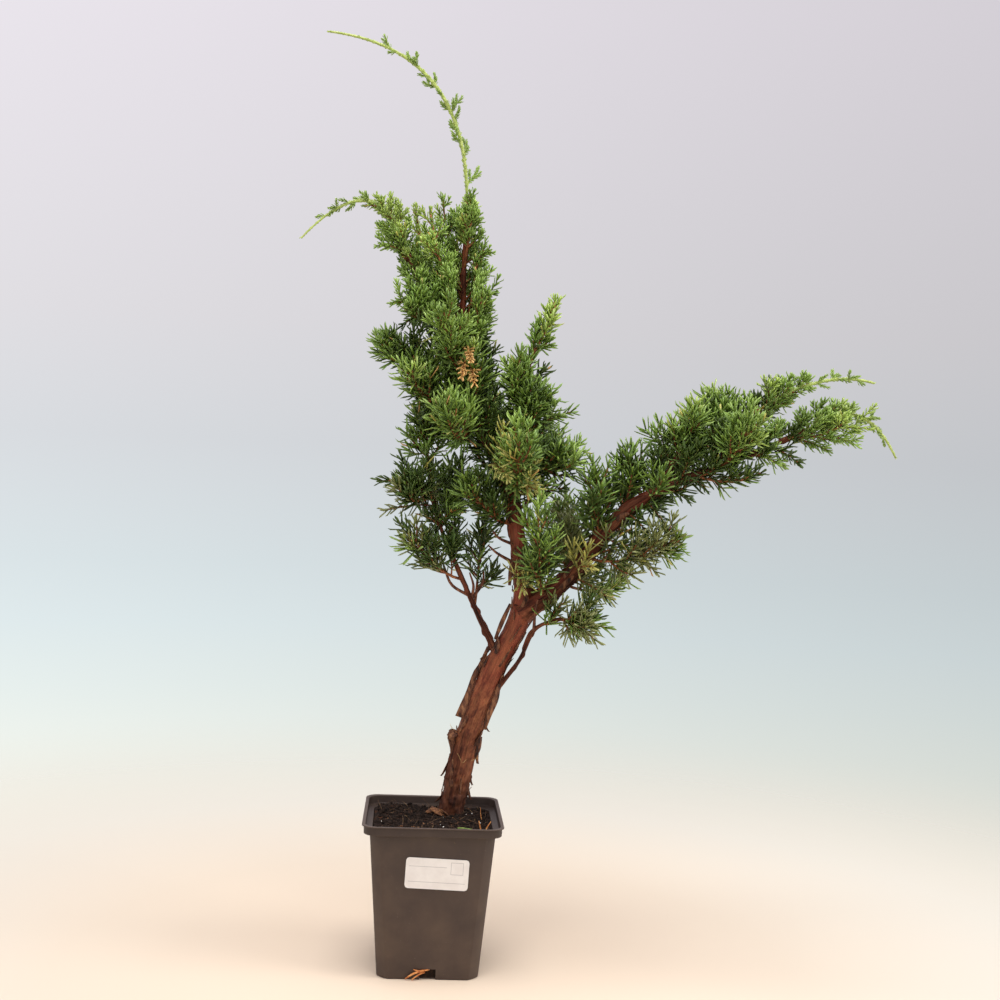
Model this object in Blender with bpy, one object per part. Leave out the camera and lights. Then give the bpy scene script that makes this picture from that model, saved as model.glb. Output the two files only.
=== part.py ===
"""Kishu juniper bonsai in its square nursery pot, standing on z = 0.

The origin is the middle of the pot's underside, +Z up, with the pot's labelled front towards -Y.
Limbs are tapering tubes along the lines read from the photograph. Each foliage mass grows from one
stem by the same seeded rule: twigs turn round the stem by the golden angle and carry whorls of
needles, and whatever would touch a limb or another mass is left out.
"""
import math
import random

import bmesh
import bpy
import numpy as np
from mathutils import Matrix, Vector

MM = 0.001
GAP = 0.3 * MM  # air between neighbouring pieces

# Pot, outside sizes; half widths are from the middle to a flat side
POT_HEIGHT = 100 * MM
POT_HALF_LIP = 45 * MM
POT_HALF_BAND = 43.8 * MM
POT_HALF_SHOULDER = 39.9 * MM
POT_HALF_FOOT = 32.5 * MM
POT_WALL = 1.0 * MM
POT_FLOOR = 1.2 * MM
BAND_HEIGHT = 6.4 * MM
LIP_THICKNESS = 1.1 * MM
SHOULDER_Z = POT_HEIGHT - BAND_HEIGHT
EDGE = 0.2 * MM  # of the lip, and the rise of the band's underside
FOOT_EDGE = 0.7 * MM
RIM_CORNER = 8.5 * MM
BODY_CORNER = 6.5 * MM
BODY_FLAT = 0.7  # how far the body's corners are chamfers rather than round
CORNER_POINTS = 4
DRAIN_WIDTH = 10.3 * MM
DRAIN_HEIGHT = 7.0 * MM
DRAIN_REACH = 5.0 * MM  # through the wall and into the floor

# Soil, filled to just under the pot's inner ledge and heaped a little to the trunk
SOIL_EDGE_Z = 91.5 * MM
SOIL_SHOULDER_Z = 93.2 * MM
SOIL_TOP_Z = 94.0 * MM
SOIL_SHOULDER_INSET = 9 * MM
SOIL_SHOULDER_CORNER = 12 * MM
SOIL_FLAT_RADIUS = 15 * MM

# Stick-on label on the pot's front, bare
LABEL_WIDTH = 40 * MM
LABEL_HEIGHT = 20 * MM
LABEL_CORNER = 2 * MM
LABEL_THICKNESS = 0.3 * MM
LABEL_X = 3.5 * MM
LABEL_Z = 69.5 * MM
LABEL_TILT = math.radians(2.0)

# Limbs: the limb that carries it, sides of the tube, then x, y, z and radius in mm where its line
# turns, read from the photograph; the line runs smoothly through them
LIMBS = {
    "trunk": (None, 10, (
        (10, 22, 86, 9.6), (14, 21, 104, 8.3), (22, 17, 148, 8.1), (38, 12, 196, 7.4),
        (54, 10, 234, 7.2), (50, 10, 275, 5.4), (40, 13, 323, 4.8), (18, 16, 362, 3.4),
        (8, 15, 425, 2.1), (7, 12, 506, 1.1))),
    "right_bough": ("trunk", 8, (
        (54, 10, 232, 6.2), (83, 2, 257, 5.3), (115, -9, 300, 4.2), (147, -14, 321, 2.7),
        (186, -18, 338, 1.6), (232, -22, 359, 1.1))),
    "upper_right_branch": ("right_bough", 6, (
        (137, -12, 314, 2.0), (156, -5, 342, 1.6), (208, 2, 374, 1.1))),
    "lower_left_branch": ("trunk", 6, (
        (40, 12, 201, 2.8), (21, 5, 238, 2.1), (-5, 0, 294, 1.4), (-12, 5, 329, 1.1))),
    "lower_right_twig": ("trunk", 6, (
        (37, 13, 176, 2.2), (53, 5, 200, 1.7), (63, 1, 222, 1.4), (80, -6, 231, 1.1))),
    "middle_left_branch": ("trunk", 6, (
        (22, 15, 352, 2.0), (-6, 6, 371, 1.5), (-30, 2, 396, 1.1))),
    "top_left_branch": ("trunk", 6, (
        (9, 16, 408, 1.7), (-20, 9, 443, 1.3), (-31, 6, 468, 1.1))),
    "centre_branch": ("trunk", 6, (
        (45, 11, 307, 2.9), (52, 0, 349, 2.1), (52, 3, 402, 1.1))),
}
LIMB_STEPS = 2  # pieces of tube between two turns

# Foliage: carrier, share of the carrier's length where the stem leaves it, the stem's tip in mm,
# the longest twig in mm and the number of twigs
FOLIAGE = {
    "crown_top_right": ("trunk", 0.89, (10, 1, 501), 13, 4),
    "crown_top_left": ("trunk", 0.84, (-9, 23, 505), 13, 4),
    "crown_left_front": ("trunk", 0.79, (-17, -6, 492), 18, 4),
    "crown_left_tall": ("trunk", 0.81, (-28, 34, 500), 18, 5),
    "crown_left_shoot": ("top_left_branch", 0.78, (-45, 18, 500), 14, 4),
    "crown_left_low": ("top_left_branch", 0.45, (-25, -10, 425), 16, 4),
    "crown_right": ("trunk", 0.79, (16, 2, 470), 15, 4),
    "crown_right_low": ("trunk", 0.75, (19, -12, 441), 16, 4),
    "crown_front": ("trunk", 0.73, (-6, -32, 425), 21, 5),
    "crown_back": ("trunk", 0.71, (-3, 50, 418), 22, 4),
    "middle_left_tip": ("middle_left_branch", 0.98, (-44, -4, 404), 12, 4),
    "middle_left_low": ("middle_left_branch", 0.45, (-27, -18, 388), 18, 4),
    "middle_left_back": ("trunk", 0.67, (-13, 42, 352), 23, 5),
    "middle_front": ("trunk", 0.66, (-1, -38, 356), 22, 4),
    "middle_right": ("trunk", 0.68, (17, -14, 394), 17, 4),
    "middle_back": ("trunk", 0.63, (26, 58, 378), 24, 5),
    "lower_left_tip": ("lower_left_branch", 0.98, (-14, 6, 360), 17, 4),
    "lower_left_outer": ("lower_left_branch", 0.84, (-26, -14, 308), 18, 4),
    "lower_left_back": ("lower_left_branch", 0.70, (10, 42, 328), 22, 5),
    "lower_left_bottom": ("lower_left_branch", 0.42, (-24, -18, 286), 18, 4),
    "inner_left": ("lower_left_branch", 0.28, (27, 34, 295), 17, 4),
    "inner_front": ("trunk", 0.49, (15, -24, 318), 22, 4),
    "centre_spray": ("centre_branch", 0.98, (67, 0, 438), 10, 4),
    "centre_peak": ("centre_branch", 0.60, (41, -18, 393), 15, 4),
    "centre_right": ("centre_branch", 0.56, (55, -12, 369), 16, 4),
    "centre_right_low": ("centre_branch", 0.29, (81, -14, 331), 21, 5),
    "centre_front": ("centre_branch", 0.14, (44, -50, 344), 24, 5),
    "centre_back": ("trunk", 0.56, (69, 54, 352), 25, 5),
    "bough_start_top": ("right_bough", 0.32, (97, -18, 326), 19, 4),
    "bough_middle_top": ("right_bough", 0.43, (122, -4, 337), 17, 4),
    "bough_start_back": ("right_bough", 0.19, (86, 46, 304), 25, 4),
    "bough_middle_back": ("right_bough", 0.48, (160, 34, 339), 22, 5),
    "under_bough": ("right_bough", 0.25, (151, -24, 287), 22, 4),
    "under_bough_low": ("right_bough", 0.15, (121, 18, 253), 18, 4),
    "fork_front": ("right_bough", 0.08, (58, -42, 304), 22, 4),
    "lower_right_tip": ("lower_right_twig", 0.98, (93, -12, 229), 16, 4),
    "right_front_top": ("upper_right_branch", 0.24, (160, -22, 365), 17, 4),
    "right_back_top": ("upper_right_branch", 0.54, (183, 12, 379), 15, 4),
    "right_front": ("right_bough", 0.73, (190, -42, 361), 19, 4),
    "right_upper_tip": ("upper_right_branch", 0.82, (229, 15, 388), 14, 4),
    "right_lower_tip": ("right_bough", 0.96, (256, -36, 367), 13, 4),
    "right_below": ("right_bough", 0.66, (202, -30, 331), 10, 3),
}

# Long bare-looking shoots at the crown's tips: carrier, the point that the stem bends towards and
# its tip in mm, both as read from the photograph, and the longest side shoot in mm
WHIPS = {
    "leader_whip": ("trunk", (2, 2, 600), (-85, -12, 602), 11),
    "left_whip": ("top_left_branch", (-52, -2, 525), (-98, -10, 471), 9),
    "upper_right_whip": ("upper_right_branch", (247, 1, 402), (282, 0, 394), 9),
    "lower_right_whip": ("right_bough", (267, -24, 389), (290, -26, 345), 9),
}

# How a mass grows
SEED = 7
GOLDEN_ANGLE = math.radians(137.5)
STEM_RADIUS = (1.05 * MM, 0.7 * MM)
TWIG_RADIUS = (0.95 * MM, 0.6 * MM)
WHIP_RADIUS = (0.95 * MM, 0.6 * MM)
SHOOT_RADIUS = (0.6 * MM, 0.4 * MM)
TIP_RADIUS = 0.12 * MM
FIRST_WHORL = 3 * MM  # at least so far from the foot of a shoot
LAST_WHORL = 3.5 * MM  # so far from its tip
STEM_SAG = 0.10  # of the stem's length
BARE_SHARE = 0.3  # of the stem, next to its limb
TWIG_ANGLE = (math.radians(62), math.radians(38))  # at the stem's foot and at its tip
TWIG_TURN = 0.45  # how far a twig bends towards its stem's heading
TWIG_SHRINK = 0.45  # how much shorter a twig at the stem's tip is than one at its foot
LAST_TWIG = 0.88  # share of the stem by which the twigs end
UNEVEN = 0.12  # random part of lengths and angles
WHORL_STEP = 14 * MM
WHORL_SIDES = 4
WHORL_TURN = math.pi / 4  # from one whorl to the next
DIRECTION_SPAN = 0.05  # share of a shoot to each side over which its direction is taken
PARALLEL = 1e-18  # below it two rods count as parallel
CAP_ROWS = 2  # a bevelled curve lists the points of its two caps before those of its rings
NEEDLE_BASE = 2.4 * MM
NEEDLE_LENGTH = 11 * MM
NEEDLE_REST = 0.6 * MM  # half thickness that neighbours keep clear of
NEEDLE_ANGLE = math.radians(52)  # from the twig
WHIP_STEP = 20 * MM
WHIP_TWIGS = 5
WHIP_BARE = 0.2
WHIP_SHOOT_BARE = 0.05
WHIP_NEEDLE_LENGTH = 3.6 * MM
WHIP_NEEDLE_ANGLE = math.radians(30)

COLOURS = {
    "pot": (0.085, 0.072, 0.068, 1),
    "soil": (0.035, 0.024, 0.018, 1),
    "label": (0.82, 0.81, 0.79, 1),
    "bark": (0.19, 0.075, 0.042, 1),
    "foliage": (0.062, 0.155, 0.035, 1),
    "fresh": (0.235, 0.36, 0.075, 1),
}


def clear_scene():
    for obj in list(bpy.data.objects):
        bpy.data.objects.remove(obj)


def new_collection(name):
    collection = bpy.data.collections.new(name)
    bpy.context.scene.collection.children.link(collection)
    return collection


def surface(name, colour, roughness):
    material = bpy.data.materials.new(name)
    material.use_nodes = True
    shader = material.node_tree.nodes["Principled BSDF"]
    shader.inputs["Base Color"].default_value = colour
    shader.inputs["Roughness"].default_value = roughness
    shader.inputs["Metallic"].default_value = 0.0
    material.diffuse_color = colour
    return material


def add_object(name, mesh, collection):
    obj = bpy.data.objects.new(name, mesh)
    collection.objects.link(obj)
    return obj


def add_piece(name, mesh, colour, roughness):
    mesh.name = name
    mesh.materials.clear()
    mesh.materials.append(surface(name, COLOURS[colour], roughness))
    return add_object(name, mesh, pieces)


def add_cutter(name, mesh):
    obj = add_object(name, mesh, cutters)
    obj.hide_render = True
    obj.display_type = "WIRE"
    return obj


def apply_boolean(target, cutter, operation):
    modifier = target.modifiers.new(operation.lower(), "BOOLEAN")
    modifier.operation = operation
    modifier.solver = "EXACT"
    if isinstance(cutter, bpy.types.Collection):
        modifier.operand_type = "COLLECTION"
        modifier.collection = cutter
    else:
        modifier.object = cutter
    graph = bpy.context.evaluated_depsgraph_get()
    mesh = bpy.data.meshes.new_from_object(target.evaluated_get(graph))
    target.modifiers.clear()
    spent = target.data
    target.data = mesh
    bpy.data.meshes.remove(spent)


def cut_with_box(target, place):
    """Cuts away a box: the unit cube set in place by the matrix."""
    bm = bmesh.new()
    bmesh.ops.create_cube(bm, size=1.0, matrix=place)
    mesh = bpy.data.meshes.new("box")
    bm.to_mesh(mesh)
    bm.free()
    cutter = add_cutter("box", mesh)
    apply_boolean(target, cutter, "DIFFERENCE")
    bpy.data.objects.remove(cutter)


def square_ring(half, corner, flat, z):
    """Points of a square ring with rounded corners; flat = 1 makes the corner a plain chamfer."""
    ring = []
    for quarter in range(4):
        turn = Matrix.Rotation(quarter * math.pi / 2, 2)
        for step in range(CORNER_POINTS):
            share = step / (CORNER_POINTS - 1)
            angle = share * math.pi / 2
            arc = Vector((math.cos(angle), math.sin(angle)))
            chord = Vector((1 - share, share))
            point = turn @ (Vector((half - corner, half - corner)) + corner * arc.lerp(chord, flat))
            ring.append((point.x, point.y, z))
    return ring


def loft(name, rings):
    """Closed solid through rings with equally many points, capped at both ends."""
    bm = bmesh.new()
    rows = [[bm.verts.new(point) for point in ring] for ring in rings]
    for low, high in zip(rows, rows[1:]):
        for index in range(len(low)):
            after = (index + 1) % len(low)
            bm.faces.new((low[index], low[after], high[after], high[index]))
    bm.faces.new(reversed(rows[0]))
    bm.faces.new(rows[-1])
    bmesh.ops.recalc_face_normals(bm, faces=bm.faces)
    mesh = bpy.data.meshes.new(name)
    bm.to_mesh(mesh)
    bm.free()
    return mesh


def body_half(z):
    """Half width of the pot's body, outside, at height z."""
    return POT_HALF_FOOT + (POT_HALF_SHOULDER - POT_HALF_FOOT) * z / SHOULDER_Z


def body_ring(z, inset=0.0):
    return square_ring(body_half(z) - inset, BODY_CORNER, BODY_FLAT, z)


def rim_ring(half, z):
    return square_ring(half, RIM_CORNER, 0.0, z)


def make_pot():
    lip_under = POT_HEIGHT - LIP_THICKNESS
    rings = [
        square_ring(POT_HALF_FOOT - FOOT_EDGE, BODY_CORNER, BODY_FLAT, 0.0),
        body_ring(FOOT_EDGE),
        body_ring(SHOULDER_Z),
        rim_ring(POT_HALF_BAND, SHOULDER_Z + EDGE),
        rim_ring(POT_HALF_BAND, lip_under),
        rim_ring(POT_HALF_LIP, lip_under + EDGE),
        rim_ring(POT_HALF_LIP, POT_HEIGHT - EDGE),
        rim_ring(POT_HALF_LIP - EDGE, POT_HEIGHT),
        rim_ring(POT_HALF_BAND - POT_WALL, POT_HEIGHT - POT_WALL),
        rim_ring(POT_HALF_BAND - POT_WALL, SHOULDER_Z + POT_WALL),
        body_ring(SHOULDER_Z, POT_WALL),
        body_ring(POT_FLOOR, POT_WALL),
    ]
    pot = add_piece("pot", loft("pot", rings), "pot", 0.5)
    for side in range(4):
        place = (
            Matrix.Rotation(side * math.pi / 2, 4, "Z")
            @ Matrix.Translation((0, -POT_HALF_FOOT, 0))
            @ Matrix.Diagonal((DRAIN_WIDTH, DRAIN_REACH, 2 * DRAIN_HEIGHT, 1))
        )
        cut_with_box(pot, place)


def make_soil(foot):
    """Fills the pot's lower body with a gap all round, flat where the trunk's foot stands."""
    inset = POT_WALL + GAP
    shoulder = body_half(SOIL_SHOULDER_Z) - inset - SOIL_SHOULDER_INSET
    flat = square_ring(SOIL_FLAT_RADIUS, SOIL_FLAT_RADIUS, 0.0, SOIL_TOP_Z)
    rings = [
        body_ring(POT_FLOOR + GAP, inset),
        body_ring(SOIL_EDGE_Z, inset),
        square_ring(shoulder, SOIL_SHOULDER_CORNER, 0.0, SOIL_SHOULDER_Z),
        [(x + foot.x, y + foot.y, z) for x, y, z in flat],
    ]
    add_piece("soil", loft("soil", rings), "soil", 0.95)


def make_label():
    half_width = LABEL_WIDTH / 2 - LABEL_CORNER
    half_height = LABEL_HEIGHT / 2 - LABEL_CORNER
    outline = []
    for quarter, (across, up) in enumerate(((1, 1), (-1, 1), (-1, -1), (1, -1))):
        for step in (0.0, 0.5, 1.0):
            angle = (quarter + step) * math.pi / 2
            outline.append((
                across * half_width + LABEL_CORNER * math.cos(angle),
                up * half_height + LABEL_CORNER * math.sin(angle),
            ))
    rings = [[(x, y, z) for x, y in outline] for z in (0.0, LABEL_THICKNESS)]
    mesh = loft("label", rings)
    slope = math.atan2(POT_HALF_SHOULDER - POT_HALF_FOOT, SHOULDER_Z)
    outward = Vector((0, -math.cos(slope), -math.sin(slope)))
    middle = Vector((LABEL_X, -body_half(LABEL_Z), LABEL_Z)) + GAP * outward
    mesh.transform(
        Matrix.Translation(middle)
        @ Matrix.Rotation(math.pi / 2 + slope, 4, "X")
        @ Matrix.Rotation(-LABEL_TILT, 4, "Z")
    )
    add_piece("label", mesh, "label", 0.6)


def tube(name, points, radii, sides, twists=None):
    """Mesh of a capped tube through the points, made by a bevelled curve."""
    curve = bpy.data.curves.new(name, "CURVE")
    curve.dimensions = "3D"
    curve.bevel_depth = 1.0
    curve.bevel_resolution = sides // 2 - 2
    curve.use_fill_caps = True
    spline = curve.splines.new("POLY")
    spline.points.add(len(points) - 1)
    for index, knot in enumerate(spline.points):
        knot.co = (*points[index], 1.0)
        knot.radius = radii[index]
        knot.tilt = twists[index] if twists else 0.0
    obj = add_object(name, curve, cutters)
    graph = bpy.context.evaluated_depsgraph_get()
    mesh = bpy.data.meshes.new_from_object(obj.evaluated_get(graph))
    mesh.transform(obj.matrix_world)
    bpy.data.objects.remove(obj)
    bpy.data.curves.remove(curve)
    return mesh


def weld(mesh):
    bm = bmesh.new()
    bm.from_mesh(mesh)
    bmesh.ops.remove_doubles(bm, verts=bm.verts, dist=0.001 * MM)
    bmesh.ops.recalc_face_normals(bm, faces=bm.faces)
    bm.to_mesh(mesh)
    bm.free()
    return mesh


def smooth(turns, steps):
    """Rows on the smooth line through the turns (Catmull-Rom), with that many steps in each."""
    before = np.vstack((2 * turns[:1] - turns[1:2], turns[:-2]))
    after = np.vstack((turns[2:], 2 * turns[-1:] - turns[-2:-1]))
    low = turns[:-1, None]
    high = turns[1:, None]
    share = (np.arange(steps) / steps)[:, None]
    leaving = 0.5 * (turns[1:] - before)[:, None]
    arriving = 0.5 * (after - turns[:-1])[:, None]
    rows = (
        (2 * share**3 - 3 * share**2 + 1) * low
        + (share**3 - 2 * share**2 + share) * leaving
        + (3 * share**2 - 2 * share**3) * high
        + (share**3 - share**2) * arriving
    )
    return np.vstack((rows.reshape(-1, turns.shape[1]), turns[-1:]))


class Limb:
    """A tapering limb: its line, its radii and a slightly fatter copy that seats are cut with."""

    def __init__(self, name):
        self.carrier, self.sides, turns = LIMBS[name]
        self.name = name
        rows = smooth(np.array(turns) * MM, LIMB_STEPS)
        self.points = [Vector(row[:3]) for row in rows]
        self.radii = [float(row[3]) for row in rows]
        steps = [(b - a).length for a, b in zip(self.points, self.points[1:])]
        self.reached = [sum(steps[:index]) for index in range(len(self.points))]

    def at(self, share):
        """Point at a share of the length."""
        distance = share * self.reached[-1]
        index = max(i for i, reached in enumerate(self.reached[:-1]) if reached <= distance)
        step = self.points[index + 1] - self.points[index]
        return self.points[index] + step.normalized() * (distance - self.reached[index])

    def cutter(self):
        end = self.points[-1] + GAP * (self.points[-1] - self.points[-2]).normalized()
        points = self.points[:-1] + [end]
        radii = [radius + GAP for radius in self.radii]
        return add_cutter(f"{self.name}_seat", weld(tube("seat", points, radii, self.sides)))


class Rods:
    """Round-ended rods that stand for what has been placed, to keep new pieces clear of it."""

    def __init__(self):
        self.starts = np.empty((0, 3))
        self.steps = np.empty((0, 3))
        self.radii = np.empty(0)
        self.owners = np.empty(0, int)

    def add(self, start, end, radius, owner):
        self.starts = np.vstack((self.starts, start))
        self.steps = np.vstack((self.steps, np.subtract(end, start)))
        self.radii = np.append(self.radii, radius)
        self.owners = np.append(self.owners, owner)

    def room(self, start, end, radius, skipped):
        """Least air between a new rod and the placed ones, those of skipped owners aside."""
        kept = ~np.isin(self.owners, skipped)
        starts = self.starts[kept]
        steps = self.steps[kept]
        step = np.subtract(end, start)
        offset = np.asarray(start) - starts
        a = step @ step
        b = steps @ step
        c = offset @ step
        e = np.einsum("ij,ij->i", steps, steps)
        f = np.einsum("ij,ij->i", steps, offset)
        denominator = a * e - b * b
        level = denominator < PARALLEL
        s = np.where(level, 0.0, (b * f - c * e) / np.where(level, 1.0, denominator))
        s = np.clip(s, 0, 1)
        t = np.clip((b * s + f) / e, 0, 1)
        s = np.clip((b * t - c) / a, 0, 1)
        apart = offset + s[:, None] * step - t[:, None] * steps
        return float((np.linalg.norm(apart, axis=1) - self.radii[kept]).min()) - radius


def bend(start, control, end, share):
    """Point of a quadratic curve."""
    return start.lerp(control, share).lerp(control.lerp(end, share), share)


def uneven():
    return rng.uniform(1 - UNEVEN, 1 + UNEVEN)


def sideways(direction, angle):
    """Unit vector square to the direction, turned round it by the angle."""
    across = direction.cross(Vector((0, 0, 1)))
    if across.length < 0.1:
        across = direction.cross(Vector((0, 1, 0)))
    across.normalize()
    return Matrix.Rotation(angle, 3, direction) @ across


class Shoot:
    """One needle-bearing tube: a stem, or a twig on it."""

    def __init__(self, ends, radii, step, needle_length, needle_angle, bare):
        self.ends = ends
        self.needle_length = needle_length
        self.needle_angle = needle_angle
        self.length = (ends[1] - ends[0]).length + (ends[2] - ends[1]).length
        first = max(bare * self.length, FIRST_WHORL)
        last = self.length - LAST_WHORL
        whorls = max(1, round((last - first) / step))
        self.whorls = [first + (last - first) * (k + 1) / whorls for k in range(whorls)]
        marks = [0.0]
        twists = [0.0]
        for k, place in enumerate(self.whorls):
            marks += [place - NEEDLE_BASE / 2, place + NEEDLE_BASE / 2]
            twists += [k * WHORL_TURN] * 2
        marks.append(self.length)
        twists.append(twists[-1])
        self.twists = twists
        self.points = [bend(*ends, mark / self.length) for mark in marks]
        self.radii = [radii[0] + (radii[1] - radii[0]) * mark / self.length for mark in marks]
        self.radii[-1] = TIP_RADIUS

    def direction(self, share):
        ahead = bend(*self.ends, min(share + DIRECTION_SPAN, 1.0))
        behind = bend(*self.ends, max(share - DIRECTION_SPAN, 0.0))
        return (ahead - behind).normalized()

    def rods(self):
        return [
            (a, b, max(ra, rb))
            for a, b, ra, rb in zip(self.points, self.points[1:], self.radii, self.radii[1:])
        ]

    def place(self, owner):
        self.owner = owner
        for start, end, radius in self.rods():
            placed.add(start, end, radius, owner)

    def fits(self, skipped):
        return all(placed.room(*rod, skipped) > GAP for rod in self.rods())

    def grow_needles(self):
        """Draws the faces at each whorl out to points, where there is room for a needle."""
        bm = bmesh.new()
        bm.from_mesh(tube("shoot", self.points, self.radii, WHORL_SIDES, self.twists))
        rows = [(face, sorted({vert.index // WHORL_SIDES - CAP_ROWS for vert in face.verts}))
                for face in bm.faces]
        for face, row in rows:
            if len(row) != 2 or row[0] % 2 == 0:
                continue
            middle = face.calc_center_median()
            share = self.whorls[row[0] // 2] / self.length
            direction = self.direction(share)
            outward = middle - bend(*self.ends, share)
            outward -= outward.project(direction)
            length = self.needle_length * uneven()
            lean = self.needle_angle * uneven()
            heading = math.cos(lean) * direction + math.sin(lean) * outward.normalized()
            tip = middle + length * heading
            root = middle + 2 * NEEDLE_REST * heading
            if placed.room(root, tip, NEEDLE_REST, [self.owner]) < GAP:
                continue
            placed.add(root, tip, NEEDLE_REST, self.owner)
            apex = bmesh.ops.poke(bm, faces=[face])["verts"][0]
            apex.co = tip
        mesh = bpy.data.meshes.new("shoot")
        bm.to_mesh(mesh)
        bm.free()
        return weld(mesh)


class Mass:
    """One foliage mass: a stem on its limb, twigs on the stem, needles on both."""

    def __init__(self, name, number):
        self.name = name
        self.number = number
        if name in WHIPS:
            carrier, control, tip, self.reach = WHIPS[name]
            self.carrier = limbs[carrier]
            start = self.carrier.at(1.0)
            self.twigs = WHIP_TWIGS
            self.slim = True
            control = Vector(control) * MM
            tip = Vector(tip) * MM
        else:
            carrier, share, tip, self.reach, self.twigs = FOLIAGE[name]
            self.carrier = limbs[carrier]
            start = self.carrier.at(share)
            tip = Vector(tip) * MM
            self.slim = False
            span = tip - start
            control = start + span / 2 - Vector((0, 0, STEM_SAG * span.length))
        self.stem = self.shoot((start, control, tip), True)
        self.stem.place(10 * number)

    def shoot(self, ends, stem):
        if self.slim:
            radii = WHIP_RADIUS if stem else SHOOT_RADIUS
            return Shoot(
                ends, radii, WHIP_STEP, WHIP_NEEDLE_LENGTH, WHIP_NEEDLE_ANGLE, WHIP_SHOOT_BARE
            )
        radii = STEM_RADIUS if stem else TWIG_RADIUS
        bare = BARE_SHARE if stem else 0.0
        return Shoot(ends, radii, WHORL_STEP, NEEDLE_LENGTH, NEEDLE_ANGLE, bare)

    def grow_twigs(self):
        self.shoots = [self.stem]
        turn = rng.uniform(0, 2 * math.pi)
        bare = WHIP_BARE if self.slim else BARE_SHARE
        for k in range(self.twigs):
            share = bare + (LAST_TWIG - bare) * k / self.twigs
            start = bend(*self.stem.ends, share)
            ahead = self.stem.direction(share)
            angle = TWIG_ANGLE[0] + (TWIG_ANGLE[1] - TWIG_ANGLE[0]) * share
            outward = sideways(ahead, turn + k * GOLDEN_ANGLE)
            first = math.cos(angle) * ahead + math.sin(angle) * outward
            then = first.lerp(ahead, TWIG_TURN).normalized()
            length = self.reach * MM * (1.15 - TWIG_SHRINK * share) * uneven()
            control = start + first * length / 2
            twig = self.shoot((start, control, control + then * length / 2), False)
            if twig.fits([self.stem.owner]):
                twig.place(10 * self.number + k + 1)
                self.shoots.append(twig)

    def build(self):
        """Joins the shoots to one body and cuts it clear of its limb."""
        meshes = [shoot.grow_needles() for shoot in self.shoots]
        kind = "fresh" if self.slim else "foliage"
        body = add_piece(self.name, meshes[0], kind, 0.6)
        joined = new_collection("twigs")
        for mesh in meshes[1:]:
            add_object("twig", mesh, joined)
        if meshes[1:]:
            apply_boolean(body, joined, "UNION")
        for obj in list(joined.objects):
            bpy.data.objects.remove(obj)
        bpy.data.collections.remove(joined)
        seat = self.carrier.cutter()
        apply_boolean(body, seat, "DIFFERENCE")
        bpy.data.objects.remove(seat)


def make_limb(limb):
    mesh = weld(tube(limb.name, limb.points, limb.radii, limb.sides))
    body = add_piece(limb.name, mesh, "bark", 0.85)
    if limb.carrier:
        seat = limbs[limb.carrier].cutter()
        apply_boolean(body, seat, "DIFFERENCE")
        bpy.data.objects.remove(seat)
    else:
        depth = POT_HEIGHT / 2
        below = Matrix.Translation((0, 0, SOIL_TOP_Z + GAP - depth))
        cut_with_box(body, below @ Matrix.Diagonal((POT_HEIGHT, POT_HEIGHT, 2 * depth, 1)))
    for start, end, near, far in zip(limb.points, limb.points[1:], limb.radii, limb.radii[1:]):
        placed.add(start, end, max(near, far), -1)


clear_scene()
rng = random.Random(SEED)
pieces = new_collection("kishu_juniper_bonsai")
cutters = new_collection("cutters")
placed = Rods()
limbs = {name: Limb(name) for name in LIMBS}

make_pot()
make_soil(limbs["trunk"].points[1])
make_label()
for limb in limbs.values():
    make_limb(limb)
names = [*WHIPS, *FOLIAGE]
masses = [Mass(name, number) for number, name in enumerate(names)]
for mass in masses:
    mass.grow_twigs()
for mass in masses:
    mass.build()
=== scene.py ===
import math
import random

import bmesh
import bpy
import numpy as np
from mathutils import Matrix, Vector


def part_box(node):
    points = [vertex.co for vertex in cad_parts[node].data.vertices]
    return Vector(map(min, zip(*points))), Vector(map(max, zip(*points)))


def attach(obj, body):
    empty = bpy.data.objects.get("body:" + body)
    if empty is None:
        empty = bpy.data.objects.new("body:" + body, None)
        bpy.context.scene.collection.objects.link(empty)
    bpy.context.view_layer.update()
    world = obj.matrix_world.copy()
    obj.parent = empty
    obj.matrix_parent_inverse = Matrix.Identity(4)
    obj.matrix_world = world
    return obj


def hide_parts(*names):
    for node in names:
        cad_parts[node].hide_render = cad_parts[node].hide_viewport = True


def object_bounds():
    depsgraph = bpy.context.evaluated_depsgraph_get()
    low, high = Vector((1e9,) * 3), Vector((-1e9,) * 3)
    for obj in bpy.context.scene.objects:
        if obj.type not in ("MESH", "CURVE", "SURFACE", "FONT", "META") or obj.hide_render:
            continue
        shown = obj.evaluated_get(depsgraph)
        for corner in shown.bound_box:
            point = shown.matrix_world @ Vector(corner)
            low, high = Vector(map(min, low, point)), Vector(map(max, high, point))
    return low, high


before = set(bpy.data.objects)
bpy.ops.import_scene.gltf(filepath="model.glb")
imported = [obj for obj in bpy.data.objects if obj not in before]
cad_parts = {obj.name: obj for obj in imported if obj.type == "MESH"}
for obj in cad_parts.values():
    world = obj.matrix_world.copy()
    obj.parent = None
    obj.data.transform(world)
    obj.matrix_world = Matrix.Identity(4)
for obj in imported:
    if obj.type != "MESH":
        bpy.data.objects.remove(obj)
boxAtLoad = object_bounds()

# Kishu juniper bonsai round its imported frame: metres, +Z up, the pot's labelled front towards -Y.
mm = 0.001
goldenAngle = math.radians(137.5)
upwards = np.array((0.0, 0.0, 1.0))
squareSection = np.array(((1, 1), (-1, 1), (-1, -1), (1, -1)))


# Small helpers

def linear(hexColour):
    # an sRGB hex colour as the linear values that the shaders take
    parts = [int(hexColour[i:i + 2], 16) / 255 for i in (1, 3, 5)]
    return (*[c / 12.92 if c <= 0.04045 else ((c + 0.055) / 1.055) ** 2.4 for c in parts], 1.0)


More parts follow.
